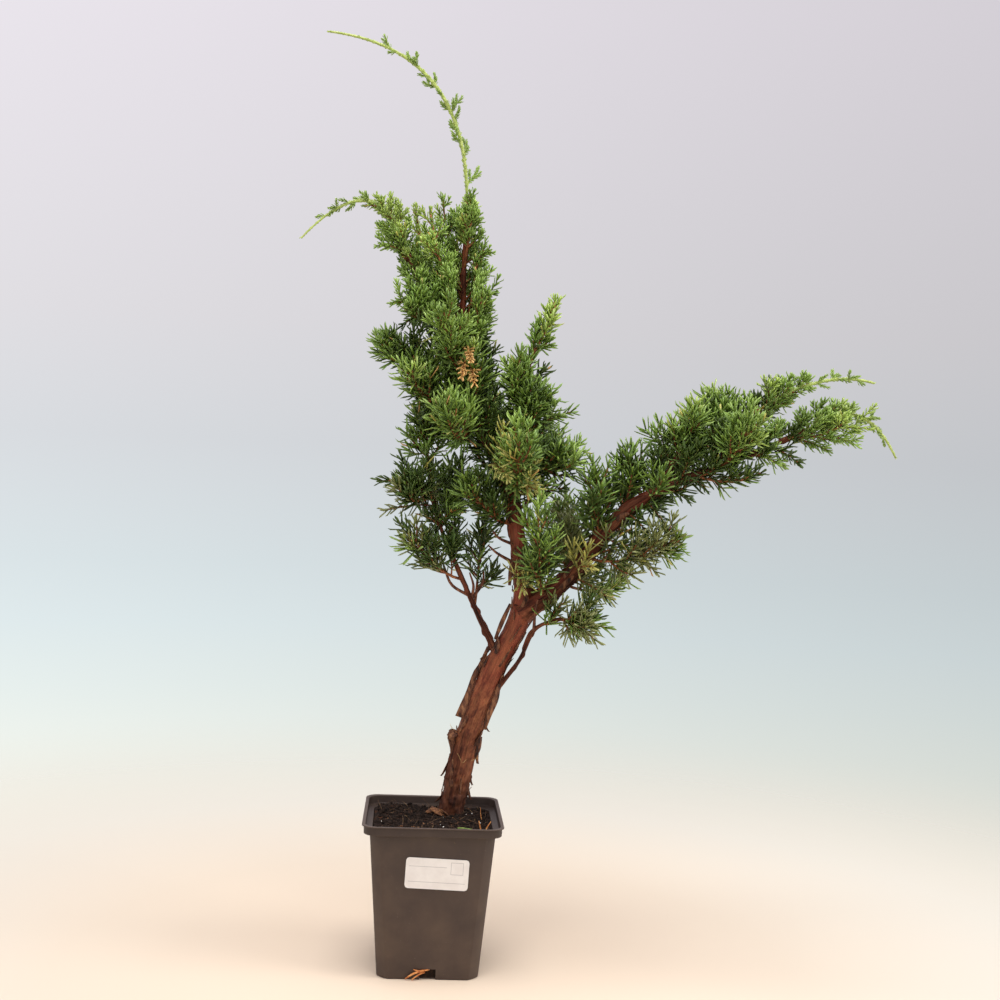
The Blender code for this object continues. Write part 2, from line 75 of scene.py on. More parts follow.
def unit(vectors):
    return vectors / np.linalg.norm(vectors, axis=-1, keepdims=True)


def ease(low, high, values):
    # 0 below low, 1 above high and a smooth step between them
    share = np.clip((values - low) / (high - low), 0, 1)
    return share * share * (3 - 2 * share)


def circle(sides):
    angle = np.arange(sides) * 2 * math.pi / sides
    return np.stack((np.cos(angle), np.sin(angle)), -1)


def sweep(line, a, b, section):
    # a cross-section carried along lines: its point (u, v) lies at line + u a + v b
    u, v = section.T[..., None]
    return line[..., None, :] + u * a[..., None, :] + v * b[..., None, :]


def reachOf(points):
    # the way along a line of points, from its start
    return np.concatenate(([0], np.cumsum(np.linalg.norm(np.diff(points, axis=0), axis=1))))


def readAt(way, marks, rows):
    # rows of values, read between their marks along a line
    return np.stack([np.interp(way, marks, column) for column in rows.T], -1)


def putMesh(name, points, faces, finishes, smooth=True):
    # faces: arrays of corner numbers, each array with one number of corners per face
    corners = np.concatenate([group.ravel() for group in faces]).astype(np.int32)
    sizes = np.concatenate([np.full(len(group), group.shape[1]) for group in faces])
    mesh = bpy.data.meshes.new(name)
    mesh.vertices.add(len(points))
    mesh.loops.add(len(corners))
    mesh.polygons.add(len(sizes))
    mesh.vertices.foreach_set("co", np.ascontiguousarray(points, np.float32).ravel())
    mesh.loops.foreach_set("vertex_index", corners)
    mesh.polygons.foreach_set("loop_start", (np.cumsum(sizes) - sizes).astype(np.int32))
    mesh.update(calc_edges=True)
    if smooth:
        mesh.shade_smooth()
    for finish in finishes:
        mesh.materials.append(finish)
    piece = bpy.data.objects.new(name, mesh)
    bpy.context.scene.collection.objects.link(piece)
    return piece


def keep(piece, slot, *nodes):
    # hangs a finished piece on the frame; nodes are the CAD nodes that it stands for
    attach(piece, "root")
    if nodes:
        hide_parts(*nodes)
    return piece


def tubeFaces(rows, sides, count=1):
    # Faces of tubes that each list rows x sides ring points and then two poles: quads join a ring
    # to the next, triangles close the ends. Rings run anticlockwise seen from the tube's far end.
    i, j = np.meshgrid(np.arange(rows - 1), np.arange(sides), indexing="ij")
    after = (j + 1) % sides
    quads = np.stack((i * sides + j, i * sides + after,
                      (i + 1) * sides + after, (i + 1) * sides + j), -1).reshape(-1, 4)
    ring = np.arange(sides)
    turned = (ring + 1) % sides
    last = (rows - 1) * sides
    foot = np.stack((np.full(sides, rows * sides), turned, ring), -1)
    tip = np.stack((np.full(sides, rows * sides + 1), last + ring, last + turned), -1)
    shift = np.arange(count)[:, None, None] * (rows * sides + 2)
    return [(quads + shift).reshape(-1, 4), (np.concatenate((foot, tip)) + shift).reshape(-1, 3)]


def tubePoints(rings):
    # rings (tube, row, side, 3) to a list of points with the poles in the middle of the end rings
    poles = rings[:, (0, -1)].mean(axis=2)
    return np.concatenate((rings.reshape(len(rings), -1, 3), poles), axis=1).reshape(-1, 3)


def putTubes(name, rings, finish, slot, *nodes):
    piece = putMesh(name, tubePoints(rings), tubeFaces(*rings.shape[1:3], len(rings)), [finish])
    return keep(piece, slot, *nodes)


def cellNoise(heights, u, v):
    # heights on a grid that repeats, joined by smooth steps; u and v are counted in cells
    i, j = np.floor(u).astype(int), np.floor(v).astype(int)
    s, t = ease(0, 1, u - i), ease(0, 1, v - j)
    rows, columns = heights.shape
    i, j, nextRow, nextColumn = i % rows, j % columns, (i + 1) % rows, (j + 1) % columns
    low = heights[i, j] * (1 - s) + heights[nextRow, j] * s
    high = heights[i, nextColumn] * (1 - s) + heights[nextRow, nextColumn] * s
    return low * (1 - t) + high * t


def latticeNoise(around, along, columns, seed):
    # random heights from -1 to 1 that close on themselves round a limb: around in 0..1, along in
    # cells
    heights = np.random.default_rng(seed).uniform(-1, 1, (int(along.max()) + 3, columns))
    return cellNoise(heights.T, (around % 1) * columns, along)


def groundNoise(x, y, cell, seed):
    # the same on flat ground, with square cells of that size in metres
    heights = np.random.default_rng(seed).uniform(-1, 1, (96, 96))
    return cellNoise(heights, x / cell + 40, y / cell + 40)


# Shader helpers

def feed(tree, node, inputs):
    # Sets a node's inputs, by name or in their order: an output socket is linked, a hex colour
    # becomes linear.
    for name, value in inputs.items() if isinstance(inputs, dict) else enumerate(inputs):
        if isinstance(value, bpy.types.NodeSocket):
            tree.links.new(value, node.inputs[name])
        else:
            node.inputs[name].default_value = linear(value) if isinstance(value, str) else value


def addNode(tree, kind, inputs=(), out=0, stops=(), **settings):
    # One node with its settings, inputs and colour stops; gives one of its outputs. A MapRange
    # takes its value, the two ends that it comes from and the two that it goes to.
    node = tree.nodes.new("ShaderNode" + kind)
    for name, value in settings.items():
        setattr(node, name, value)
    if stops:
        bar = node.color_ramp.elements
        while len(bar) < len(stops):
            bar.new(0.5)
        for knot, (place, colour) in zip(bar, stops):
            knot.position, knot.color = place, linear(colour)
    feed(tree, node, inputs)
    return node.outputs[out]


def newFinish(name, colour, roughness, ior=1.5, specular=0.5):
    finish = bpy.data.materials.new(name)
    finish.use_nodes = True
    finish.diffuse_color = linear(colour)
    tree = finish.node_tree
    shader = tree.nodes["Principled BSDF"]
    feed(tree, shader, {"Base Color": colour, "Roughness": roughness, "IOR": ior,
                        "Specular IOR Level": specular})
    return finish, tree, shader


def lumps(tree, place, size, detail=3.0, roughness=0.55, stretch=(1, 1, 1)):
    # noise whose lumps are about that size in metres, drawn out along an axis by stretch
    moved = addNode(tree, "Mapping", {"Vector": place, "Scale": stretch})
    return addNode(tree, "TexNoise", {"Vector": moved, "Scale": 1 / size, "Detail": detail,
                                      "Roughness": roughness})


def layered(tree, colour, *coats, blend="MIX"):
    # coats laid over a colour one after the other, each as its share and its own colour
    for share, coat in coats:
        colour = addNode(tree, "Mix", {0: share, 6: colour, 7: coat}, 2, data_type="RGBA",
                         blend_type=blend)
    return colour


def grownFinish(name, colours, size, roughness, stretch=(1, 1, 1), bump=0.0, specular=0.5):
    # a grown or torn thing: three colours dealt by noise of that lump size, slightly uneven
    finish, tree, shader = newFinish(name, colours[1], roughness, 1.45, specular)
    spots = lumps(tree, addNode(tree, "TexCoord", out="Object"), size, 3, 0.6, stretch)
    colour = addNode(tree, "ValToRGB", [spots], stops=list(zip((0.35, 0.5, 0.65), colours)))
    feed(tree, shader, {"Base Color": colour})
    if bump:
        relief = addNode(tree, "Bump", {"Height": spots, "Distance": bump, "Strength": 1.0})
        feed(tree, shader, {"Normal": relief})
    return finish


# Pot: moulded square nursery pot

pot = {
    "height": 100 * mm,
    "halfLip": 45 * mm,
    "halfBand": 43.8 * mm,
    "halfShoulder": 39.9 * mm,
    "halfFoot": 32.5 * mm,
    "wall": 1.0 * mm,
    "floor": 1.2 * mm,
    "band": 6.4 * mm,
    "lip": 1.1 * mm,
    "rimCorner": 8.5 * mm,
    "bodyCorner": 6.5 * mm,
    "chamfer": 0.7,  # how far the body's corners are flat facets
    "edge": 0.35 * mm,  # rounding of the moulded edges
    "drain": (10.3 * mm, 5.0 * mm, 7.0 * mm),  # slot in the foot of each side: wide, deep, high
    "cornerPoints": 15,
    "sharpFrom": math.radians(32),  # edges that turn more than this stay crisp
}
pot["shoulder"] = pot["height"] - pot["band"]


def bodyHalf(z):
    return pot["halfFoot"] + (pot["halfShoulder"] - pot["halfFoot"]) * z / pot["shoulder"]


def squareRings(half, corner, flat, z, cornerPoints):
    # Rounded squares, one per row: each corner is an arc pulled towards its chord by flat; the
    # four corners are the first one turned by quarter turns.
    half, corner, flat, z = [np.asarray(v, float)[:, None] for v in (half, corner, flat, z)]
    share = np.linspace(0, 1, cornerPoints)[None]
    x = (1 - flat) * np.cos(share * math.pi / 2) + flat * (1 - share)
    y = (1 - flat) * np.sin(share * math.pi / 2) + flat * share
    x, y = half - corner + corner * x, half - corner + corner * y
    x, y = np.concatenate((x, -y, -x, y), axis=1), np.concatenate((y, x, -y, -x), axis=1)
    return np.stack((x, y, np.broadcast_to(z, x.shape)), -1)


def roundedProfile(knots):
    # Profile through (half, z, edge radius, corner, flat) knots; a knot with an edge radius
    # becomes a short quadratic curve that cuts the corner off.
    rows = []
    for index, (half, z, edge, corner, flat) in enumerate(knots):
        here = np.array((half, z))
        if not edge:
            rows.append((*here, corner, flat))
            continue
        before = np.array(knots[index - 1][:2]) - here
        after = np.array(knots[index + 1][:2]) - here
        start = here + before * min(0.45, edge / np.linalg.norm(before))
        end = here + after * min(0.45, edge / np.linalg.norm(after))
        for share in (0.0, 0.25, 0.5, 0.75, 1.0):
            point = (1 - share) ** 2 * start + 2 * share * (1 - share) * here + share ** 2 * end
            rows.append((*point, corner, flat))
    return np.array(rows)


def makePot():
    p = pot
    edge, lipUnder = p["edge"], p["height"] - p["lip"]
    rim = (p["rimCorner"], 0.0)
    body = (p["bodyCorner"], p["chamfer"])
    inner = p["halfBand"] - p["wall"]
    knots = [
        (p["halfFoot"] - 3 * mm, 0.0, 0, *body),
        (p["halfFoot"] - 0.2 * mm, 0.0, 2 * edge, *body),
        (bodyHalf(2 * mm), 2 * mm, 0, *body),
        (bodyHalf(p["shoulder"] - 3 * mm), p["shoulder"] - 3 * mm, 0, *body),
        (bodyHalf(p["shoulder"]), p["shoulder"], 2 * edge, *body),
        (p["halfBand"], p["shoulder"] + 0.2 * mm, 2 * edge, *rim),
        (p["halfBand"], lipUnder, edge / 2, *rim),
        (p["halfLip"], lipUnder + 0.1 * mm, edge, *rim),
        (p["halfLip"], p["height"], edge, *rim),
        (inner, p["height"] - 0.3 * mm, edge, *rim),
        (inner, p["shoulder"] + p["wall"], edge, *rim),
        (bodyHalf(p["shoulder"]) - p["wall"], p["shoulder"], edge, *body),
        (bodyHalf(p["floor"]) - p["wall"], p["floor"], 0, *body),
    ]
    rows = roundedProfile(knots)
    rings = squareRings(rows[:, 0], rows[:, 2], rows[:, 3], rows[:, 1], p["cornerPoints"])
    piece = putMesh("nursery_pot", tubePoints(rings[None]),
                    tubeFaces(*rings.shape[:2]), [potPlastic()])
    # the drain slots, cut by boxes that are then removed
    wide, deep, high = p["drain"]
    bm = bmesh.new()
    for side in range(4):
        place = (Matrix.Rotation(side * math.pi / 2, 4, "Z")
                 @ Matrix.Translation((0, -p["halfFoot"], 0))
                 @ Matrix.Diagonal((wide, deep, 2 * high, 1)))
        bmesh.ops.create_cube(bm, size=1.0, matrix=place)
    slots = bpy.data.meshes.new("slots")
    bm.to_mesh(slots)
    bm.free()
    cutter = bpy.data.objects.new("slots", slots)
    bpy.context.scene.collection.objects.link(cutter)
    cut = piece.modifiers.new("drains", "BOOLEAN")
    cut.operation, cut.solver, cut.object = "DIFFERENCE", "EXACT", cutter
    graph = bpy.context.evaluated_depsgraph_get()
    whole = bpy.data.meshes.new_from_object(piece.evaluated_get(graph))
    piece.modifiers.clear()
    piece.data = whole
    bpy.data.objects.remove(cutter)
    whole.shade_smooth()
    whole.set_sharp_from_angle(angle=p["sharpFrom"])
    keep(piece, "pot", "pot")


def potPlastic():
    # Polypropylene, moulded from regrind: a matt warm dark taupe with a soft sheen at grazing
    # angles, faint flow mottling, an even 0.6 mm moulded grain, and dusted with pale specks of
    # soil. Painted light: the lip is painted paler as a painted highlight, and above 93.4 mm the
    # pot is painted darker, painted shade on the inner wall inside the rim and darker on the band.
    finish, tree, shader = newFinish("mouldedPolypropylene", "#4d3f38", 0.5, 1.49, 0.35)
    place = addNode(tree, "TexCoord", out="Object")
    height = addNode(tree, "SeparateXYZ", [place], "Z")
    flow = addNode(tree, "ValToRGB", [lumps(tree, place, 22 * mm, 4)],
                   stops=((0.30, "#3f332d"), (0.52, "#483a32"), (0.72, "#524338")))
    # painted shade: above 93.4 mm the pot is painted darker, which darkens the inner wall inside the
    # rim, where shade falls, and the band outside
    band = addNode(tree, "MapRange", (height, 93.4 * mm, 94.2 * mm, 0, 0.55))
    # painted highlight: the top millimetre of the pot, the lip's edge, is painted paler as if lit
    lip = addNode(tree, "MapRange", (height, 98.9 * mm, 99.9 * mm))
    dust = addNode(tree, "MapRange", (lumps(tree, place, 1.1 * mm, 2, 0.7), 0.7, 0.8, 0, 0.35))
    rough = addNode(tree, "MapRange", (lumps(tree, place, 9 * mm, 3), 0, 1, 0.38, 0.58))
    grain = addNode(tree, "Bump", {"Height": lumps(tree, place, 0.6 * mm, 1),
                                   "Distance": 0.05 * mm, "Strength": 0.6})
    colour = layered(tree, flow, (band, "#382c26"), (lip, "#57483f"), (dust, "#9c8878"))
    feed(tree, shader, {"Base Color": colour, "Roughness": rough, "Normal": grain})
    return finish


# Soil: milled peat with bark fibre, a little heaped to the trunk

soil = {
    "foot": (13.3 * mm, 21.3 * mm),  # middle of the trunk's foot
    "edge": 91.8 * mm,
    "top": 94.2 * mm,
    "heap": 3.4 * mm,  # towards the back left corner
    "inset": 1.3 * mm,
    "bottom": 1.5 * mm,
    "columns": 320,
    "rows": 150,
    "clods": 2200,
    "chips": 80,
    "fibres": 150,
    "perlite": 16,
}


def soilHeight(x, y):
    # Rises from the edge to the trunk and to the back left corner, with clods of 7, 2.6 and 1.2 mm
    away = np.hypot(x - soil["foot"][0], y - soil["foot"][1])
    rise = np.exp(-(away / (26 * mm)) ** 2)
    corner = np.exp(-((x + 26 * mm) ** 2 + (y - 30 * mm) ** 2) / (24 * mm) ** 2)
    clods = (0.9 * groundNoise(x, y, 7 * mm, 11) + 0.75 * groundNoise(x, y, 2.6 * mm, 12)
             + 0.5 * groundNoise(x, y, 1.2 * mm, 13)) * mm
    return soil["edge"] + (soil["top"] - soil["edge"]) * rise + soil["heap"] * corner + clods


def makeSoil():
    # Top: rows shrink from the wall's rounded square to the trunk's foot, at soilHeight; below it
    # the same square goes down along the pot's walls.
    s = soil
    share = np.linspace(0.01, 1, s["rows"])
    half = bodyHalf(s["edge"]) - s["inset"]
    square = squareRings([half], [pot["bodyCorner"]], [0.5], [0.0], 2)[0, :, :2]
    corners = np.vstack((square, square[:1]))
    reach = reachOf(corners)
    outline = readAt(np.linspace(0, reach[-1], s["columns"], endpoint=False), reach, corners)
    foot = np.array(s["foot"])
    flat = foot + share[::-1, None, None] * (outline - foot)
    z = soilHeight(flat[..., 0], flat[..., 1])
    z[0] = np.minimum(z[0], s["edge"] + s["heap"])
    low = outline * (bodyHalf(s["bottom"]) - s["inset"]) / half
    floor = np.column_stack((low, np.full(len(low), s["bottom"])))
    rings = np.concatenate((floor[None], np.dstack((flat, z))))
    putTubes("peat", rings[None], peat(), "soil", "soil")


def peat():
    # Milled peat, damp: nearly black brown crumbs of 1 to 3 mm that give back almost no light,
    # with rusty fibre between them.
    finish, tree, shader = newFinish("milledPeat", "#2a1d17", 0.93, 1.45, 0.25)
    place = addNode(tree, "TexCoord", out="Object")
    crumbs = lumps(tree, place, 2.2 * mm, 5, 0.65)
    colour = addNode(tree, "ValToRGB", [crumbs],
                     stops=((0.30, "#0f0a08"), (0.50, "#1f1510"), (0.70, "#38271c")))
    fibre = addNode(tree, "MapRange", (lumps(tree, place, 5 * mm, 4, 0.7), 0.56, 0.7, 0, 0.55))
    relief = addNode(tree, "Bump", {"Height": crumbs, "Distance": 0.8 * mm, "Strength": 0.9})
    feed(tree, shader, {"Base Color": layered(tree, colour, (fibre, "#6d4126")),
                        "Normal": relief})
    return finish


def onSoil(count, seed):
    # places strewn over the pot's opening and the soil's height there
    rng = np.random.default_rng(seed)
    half = (bodyHalf(soil["edge"]) - soil["inset"] - 1.5 * mm) * 0.96
    x, y = rng.uniform(-half, half, (2, count))
    return rng, np.stack((x, y, soilHeight(x, y)), -1)


def pebbles(name, places, sizes, rng, finish):
    # Uneven lumps: points on a small globe, rows by columns, each pushed in or out at random
    rows, columns = 4, 6
    tilt = np.linspace(0.16, math.pi - 0.16, rows)[::-1, None]
    turn = (np.arange(columns) * 2 * math.pi / columns)[None]
    globe = np.stack((np.sin(tilt) * np.cos(turn), np.sin(tilt) * np.sin(turn),
                      np.cos(tilt) * np.ones_like(turn)), -1)
    push = rng.uniform(0.65, 1.2, (len(places), rows, columns, 1))
    stretch = rng.uniform(0.6, 1.3, (len(places), 1, 1, 3)) * (1, 1, 0.7)
    rings = places[:, None, None] + globe * push * stretch * sizes[:, None, None, None]
    putTubes(name, rings, finish, "soil")


def strands(starts, headings, lengths, radii, rng, rows=8, curl=0.5):
    # Thin bent tubes: a start, a heading and a sideways bend that grows with the square of the
    # way, plus a wave; the ends are half as thick.
    share = np.linspace(0, 1, rows)[None, :, None]
    headings = unit(headings)
    side = unit(np.cross(headings, rng.normal(size=headings.shape)))
    third = np.cross(headings, side)
    headings, side, third = headings[:, None], side[:, None], third[:, None]
    bend = rng.uniform(-curl, curl, (len(starts), 1, 1))
    wave = rng.uniform(0.3, 1.0, (len(starts), 1, 1)) * curl * 0.25
    line = starts[:, None] + lengths[:, None, None] * (
        share * headings + bend * share ** 2 * side + wave * np.sin(share * 5) * third)
    thick = radii[:, None, None] * (1 - 0.5 * share ** 2)
    return sweep(line, thick * side, thick * third, circle(4))


def splinters(starts, headings, lengths, widths, rng, thickness=0.35):
    # Flat slivers with three stations: narrow, wide and narrow, in a plane turned at random
    headings = unit(headings)
    side = unit(np.cross(headings, rng.normal(size=headings.shape)))
    third = np.cross(headings, side)
    stations = np.array((-0.5, -0.1, 0.5))
    half = 0.5 * widths[:, None, None] * np.array((0.45, 1.0, 0.25))[:, None]
    line = starts[:, None] + lengths[:, None, None] * stations[:, None] * headings[:, None]
    return sweep(line, half * side[:, None], thickness * half * third[:, None], squareSection)


def strewSoil():
    # crumbs, bark chips, fibres, white perlite, and the few larger bits that catch the eye
    rng, places = onSoil(soil["clods"], 21)
    sizes = rng.uniform(0.4, 1.5, len(places)) ** 1.3 * mm
    pebbles("peat_crumbs", places + upwards * 0.2 * mm, sizes, rng, crumbPeat)
    rng, places = onSoil(soil["chips"], 22)
    headings = rng.normal(size=places.shape) * (1, 1, 0.35)
    lengths = rng.uniform(1.2, 4.5, len(places)) * mm
    rings = splinters(places + upwards * 0.3 * mm, headings, lengths, 0.3 * lengths, rng)
    putTubes("bark_chips", rings, barkChip, "soil")
    rng, places = onSoil(soil["fibres"], 23)
    headings = rng.normal(size=places.shape) * (1, 1, 0.45) + upwards * 0.25
    rings = strands(places, headings, rng.uniform(3, 11, len(places)) * mm,
                    rng.uniform(0.12, 0.22, len(places)) * mm, rng)
    putTubes("soil_fibres", rings, soilFibre, "soil")
    rng, places = onSoil(soil["perlite"], 24)
    places[0] = (7 * mm, -17 * mm, soilHeight(np.array(7 * mm), np.array(-17 * mm)))
    sizes = np.concatenate(([1.1], rng.uniform(0.35, 0.6, len(places) - 1))) * mm
    pebbles("perlite", places + upwards * 0.5 * mm, sizes, rng, perlite)
    # chips against the trunk's foot, orange sticks, a green stem
    rng = np.random.default_rng(25)
    foot = np.array((*soil["foot"], 95.5 * mm))
    chips = foot + np.array(((-9, -10, 1.0), (-4, -11, 0.2), (-14, -5, 1.0))) * mm
    heads = np.array(((1, -0.3, -0.55), (0.9, -0.2, -0.7), (0.8, 0.5, 0.2)))
    rings = splinters(chips, heads, np.array((13, 10, 8)) * mm, np.array((6, 3, 4)) * mm, rng, 0.2)
    putTubes("foot_chips", rings, barkChip, "soil")
    starts = np.array(((31, -22, 94), (34, -25, 94), (33, 6, 93))) * mm
    heads = np.array(((-0.25, 0.1, 0.9), (0.4, 0.3, 0.8), (-0.2, 0.1, 0.9)))
    rings = strands(starts, heads, np.array((6, 7, 9)) * mm, np.array((0.5, 0.45, 0.3)) * mm,
                    rng, curl=0.2)
    putTubes("sticks", rings, orangeStick, "soil")
    starts = np.array(((16, -24, 95.2), (25, -25.5, 95.0))) * mm
    heads = np.array(((1, -0.12, 0.02), (0.5, -0.6, -0.2)))
    rings = strands(starts, heads, np.array((9, 3)) * mm, np.array((0.45, 0.4)) * mm, rng, curl=0.1)
    putTubes("green_stem", rings, freshStem, "soil")


# Peat crumbs: damp and dark. Bark chips: dry pine bark, rust to tan. Fibres: coir, straw
# coloured and dull. Perlite: puffed glass, chalky white. Sticks: split wood, orange.
crumbPeat = grownFinish("peatCrumb", ("#120c09", "#22170f", "#362820"), 2 * mm, 0.92,
                        bump=0.3 * mm, specular=0.25)
barkChip = grownFinish("pineBarkChip", ("#3c2417", "#6b4227", "#96683f"), 1.5 * mm, 0.8,
                       bump=0.2 * mm)
soilFibre = grownFinish("coirFibre", ("#2e1f16", "#5a3f2a", "#8c6f4c"), 4 * mm, 0.75)
perlite = grownFinish("perliteWhite", ("#b9b4ab", "#dedad2", "#eeebe4"), 0.8 * mm, 0.85,
                      bump=0.2 * mm)
orangeStick = grownFinish("splitWood", ("#9a5428", "#c47a3e", "#d99a5c"), 2 * mm, 0.7)
freshStem = grownFinish("freshStem", ("#6d8a3a", "#8fa84e", "#a9bd69"), 3 * mm, 0.5)


# Label: bare paper sticker, turned 2 degrees

def labelPaper():
    # Matt coated paper: a clean slightly warm white with two faint grey ruled lines and an empty
    # square frame.
    finish, tree, shader = newFinish("coatedPaper", "#efeae4", 0.55)
    low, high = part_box("label")
    place = addNode(tree, "TexCoord", out="Object")
    centred = addNode(tree, "Mapping", {
        "Vector": place, "Location": -(Vector(low) + Vector(high)) / 2})
    level = addNode(tree, "VectorRotate", {"Vector": centred, "Angle": math.radians(-2)},
                    rotation_type="Y_AXIS")
    across, height = (addNode(tree, "SeparateXYZ", [level], axis) for axis in "XZ")

    def upright(x, z, wide, high):
        # 1 inside an upright box of that size, in mm from the label's middle
        sides = [addNode(tree, "Math", (axis, at * mm, size * mm / 2), operation="COMPARE")
                 for axis, at, size in ((across, x, wide), (height, z, high))]
        return addNode(tree, "Math", sides, operation="MULTIPLY")

    outer, inner = upright(12.5, 4, 8, 8), upright(12.5, 4, 7.3, 7.3)
    ink = addNode(tree, "Math", (outer, inner), operation="SUBTRACT")
    for line in (upright(-6, 4.5, 24, 0.35), upright(0, -5.5, 36, 0.35)):
        ink = addNode(tree, "Math", (ink, line), operation="MAXIMUM")
    faded = addNode(tree, "Math", (ink, 0.55), operation="MULTIPLY")
    paper = addNode(tree, "ValToRGB", [lumps(tree, place, 6 * mm, 2)],
                    stops=((0.35, "#e1dbd5"), (0.65, "#e8e3dd")))
    tooth = addNode(tree, "Bump", {"Height": lumps(tree, place, 0.5 * mm, 2),
                                   "Distance": 0.02 * mm, "Strength": 0.5})
    feed(tree, shader, {"Base Color": layered(tree, paper, (faded, "#8f8a88")),
                        "Normal": tooth})
    return finish


# Limbs: their lines are the source's, as x, y, z and radius in mm where a line turns

limbs = {
    "trunk": (
        (10, 22, 86, 9.6), (14, 21, 104, 8.3), (22, 17, 148, 8.1), (38, 12, 196, 7.4),
        (54, 10, 234, 7.2), (50, 10, 275, 5.4), (40, 13, 323, 4.8), (18, 16, 362, 3.4),
        (8, 15, 425, 2.1), (7, 12, 506, 1.1)),
    "right_bough": (
        (54, 10, 232, 6.2), (83, 2, 257, 5.3), (115, -9, 300, 4.2), (147, -14, 321, 2.7),
        (186, -18, 338, 1.6), (232, -22, 359, 1.1)),
    "upper_right_branch": ((137, -12, 314, 2.0), (156, -5, 342, 1.6), (208, 2, 374, 1.1)),
    "lower_left_branch": (
        (40, 12, 201, 2.8), (21, 5, 238, 2.1), (-5, 0, 294, 1.4), (-12, 5, 329, 1.1)),
    "lower_right_twig": (
        (37, 13, 176, 2.2), (53, 5, 200, 1.7), (63, 1, 222, 1.4), (80, -6, 231, 1.1)),
    "middle_left_branch": ((22, 15, 352, 2.0), (-6, 6, 371, 1.5), (-30, 2, 396, 1.1)),
    "top_left_branch": ((9, 16, 408, 1.7), (-20, 9, 443, 1.3), (-31, 6, 468, 1.1)),
    "centre_branch": ((45, 11, 307, 2.9), (52, 0, 349, 2.1), (52, 3, 402, 1.1)),
}
bark = {
    "ringStep": 0.9 * mm,
    "plate": 0.75 * mm,  # thickness of the layers that peel
    "fibre": 0.22 * mm,
    "knob": 1.8 * mm,  # on thin limbs
    "rough": 1.5 * mm,  # of the dark bark at the trunk's foot
    "roughTop": 150 * mm,  # up to this height
    "peeled": (125 * mm, 175 * mm, 238 * mm),  # heights where it starts, is full and ends
    # extra old bark for limbs under the foliage: it paints them darker as painted shade, on top of
    # their own old bark
    "olderAndShaded": {"right_bough": 0.4, "lower_left_branch": 0.6, "lower_right_twig": 0.7},
    # share of the source's radius
    "slim": {"trunk": 0.94, "lower_left_branch": 0.8, "lower_right_twig": 0.8},
    "flakes": (("trunk", 75, 8, 250), ("right_bough", 26, 10, 95)),  # number, from and to in mm
    "strip": 0.32 * mm,  # thickness of a peeling strip
}


def smoothLine(turns, steps):
    # smooth line through the turns (Catmull-Rom), with that many steps in each part
    before = np.vstack((2 * turns[:1] - turns[1:2], turns[:-2]))
    after = np.vstack((turns[2:], 2 * turns[-1:] - turns[-2:-1]))
    t = (np.arange(steps) / steps)[:, None]
    leaving = 0.5 * (turns[1:] - before)[:, None]
    arriving = 0.5 * (after - turns[:-1])[:, None]
    rows = ((2 * t**3 - 3 * t**2 + 1) * turns[:-1, None] + (t**3 - 2 * t**2 + t) * leaving
            + (3 * t**2 - 2 * t**3) * turns[1:, None] + (t**3 - t**2) * arriving)
    return np.vstack((rows.reshape(-1, turns.shape[1]), turns[-1:]))


def lineOf(turns):
    # the smooth line as points, radii and way along it, one row per ring
    rows = smoothLine(np.array(turns, float) * mm, 24)
    reach = reachOf(rows[:, :3])
    marks = np.linspace(0, reach[-1], int(reach[-1] / bark["ringStep"]) + 2)
    rows = readAt(marks, reach, rows)
    return rows[:, :3], rows[:, 3], marks


def limbAxes(line):
    # heading along the limb, across it in the picture's plane, and the third axis
    ahead = unit(np.gradient(line, axis=0))
    across = unit(np.cross((0.0, 1.0, 0.0), ahead))
    return ahead, across, np.cross(ahead, across)


lines = {name: lineOf(turns) for name, turns in limbs.items()}


def barkRelief(around, along, radius, z, seed, thick, trunk):
    # Slow lumps, two layers of thin plates with crisp edges that run with the limb, fine fibres,
    # and towards the trunk's foot a coarse crust. The trunk has peeled to its smooth red skin on
    # the front, with crust left along both sides. Returns the height and how much old bark lies
    # on the skin.
    lumpy = 0.07 * radius * latticeNoise(around, along / (19 * mm), 3, seed)
    drift = 0.05 * latticeNoise(around, along / (15 * mm), 4, seed + 1)
    upper = ease(0.10, 0.22, latticeNoise(around + drift, along / (21 * mm), 6, seed + 2))
    lower = ease(-0.1, 0.05, latticeNoise(around - drift, along / (9 * mm), 9, seed + 3))
    fibres = latticeNoise(around + drift, along / (11 * mm), 30, seed + 4)
    turn = 2 * math.pi * around
    low, middle, high = bark["peeled"]
    part = 0.45 * ease(low, low + 20 * mm, z) + 0.55 * ease(middle, middle + 25 * mm, z)
    peeled = ease(0.35, 0.8, -np.sin(turn)) * part * trunk
    peeled = peeled * (1 - ease(high, high + 15 * mm, z))
    upper, lower = upper * (1 - 0.85 * peeled), lower * (1 - 0.75 * peeled)
    sides = ease(0.78, 0.97, np.abs(np.cos(turn))) * (1 - ease(205 * mm, 225 * mm, z)) * trunk
    crust = np.maximum(1 - ease(100 * mm, bark["roughTop"], z), 0.75 * sides)
    crust = np.maximum(crust, 0.35 * trunk * (1 - ease(165 * mm, 198 * mm, z)))
    chunks = (latticeNoise(around, along / (5 * mm), 9, seed + 5)
              + 0.6 * latticeNoise(around, along / (2.2 * mm), 21, seed + 6))
    layers = upper + 0.5 * lower * ease(0.2, 0.9, np.abs(fibres) + upper)
    knobs = np.maximum(latticeNoise(around, along / (5 * mm), 4, seed + 7) - 0.12, 0)
    height = (lumpy + bark["knob"] * (1 - thick) * knobs
              + thick * (bark["plate"] * layers + bark["fibre"] * fibres)
              + bark["rough"] * crust * np.maximum(chunks, -0.5) * 0.6)
    old = 0.8 * upper + 0.35 * lower + 0.9 * crust * ease(-0.2, 0.6, chunks)
    return height, np.clip(old, 0, 1)


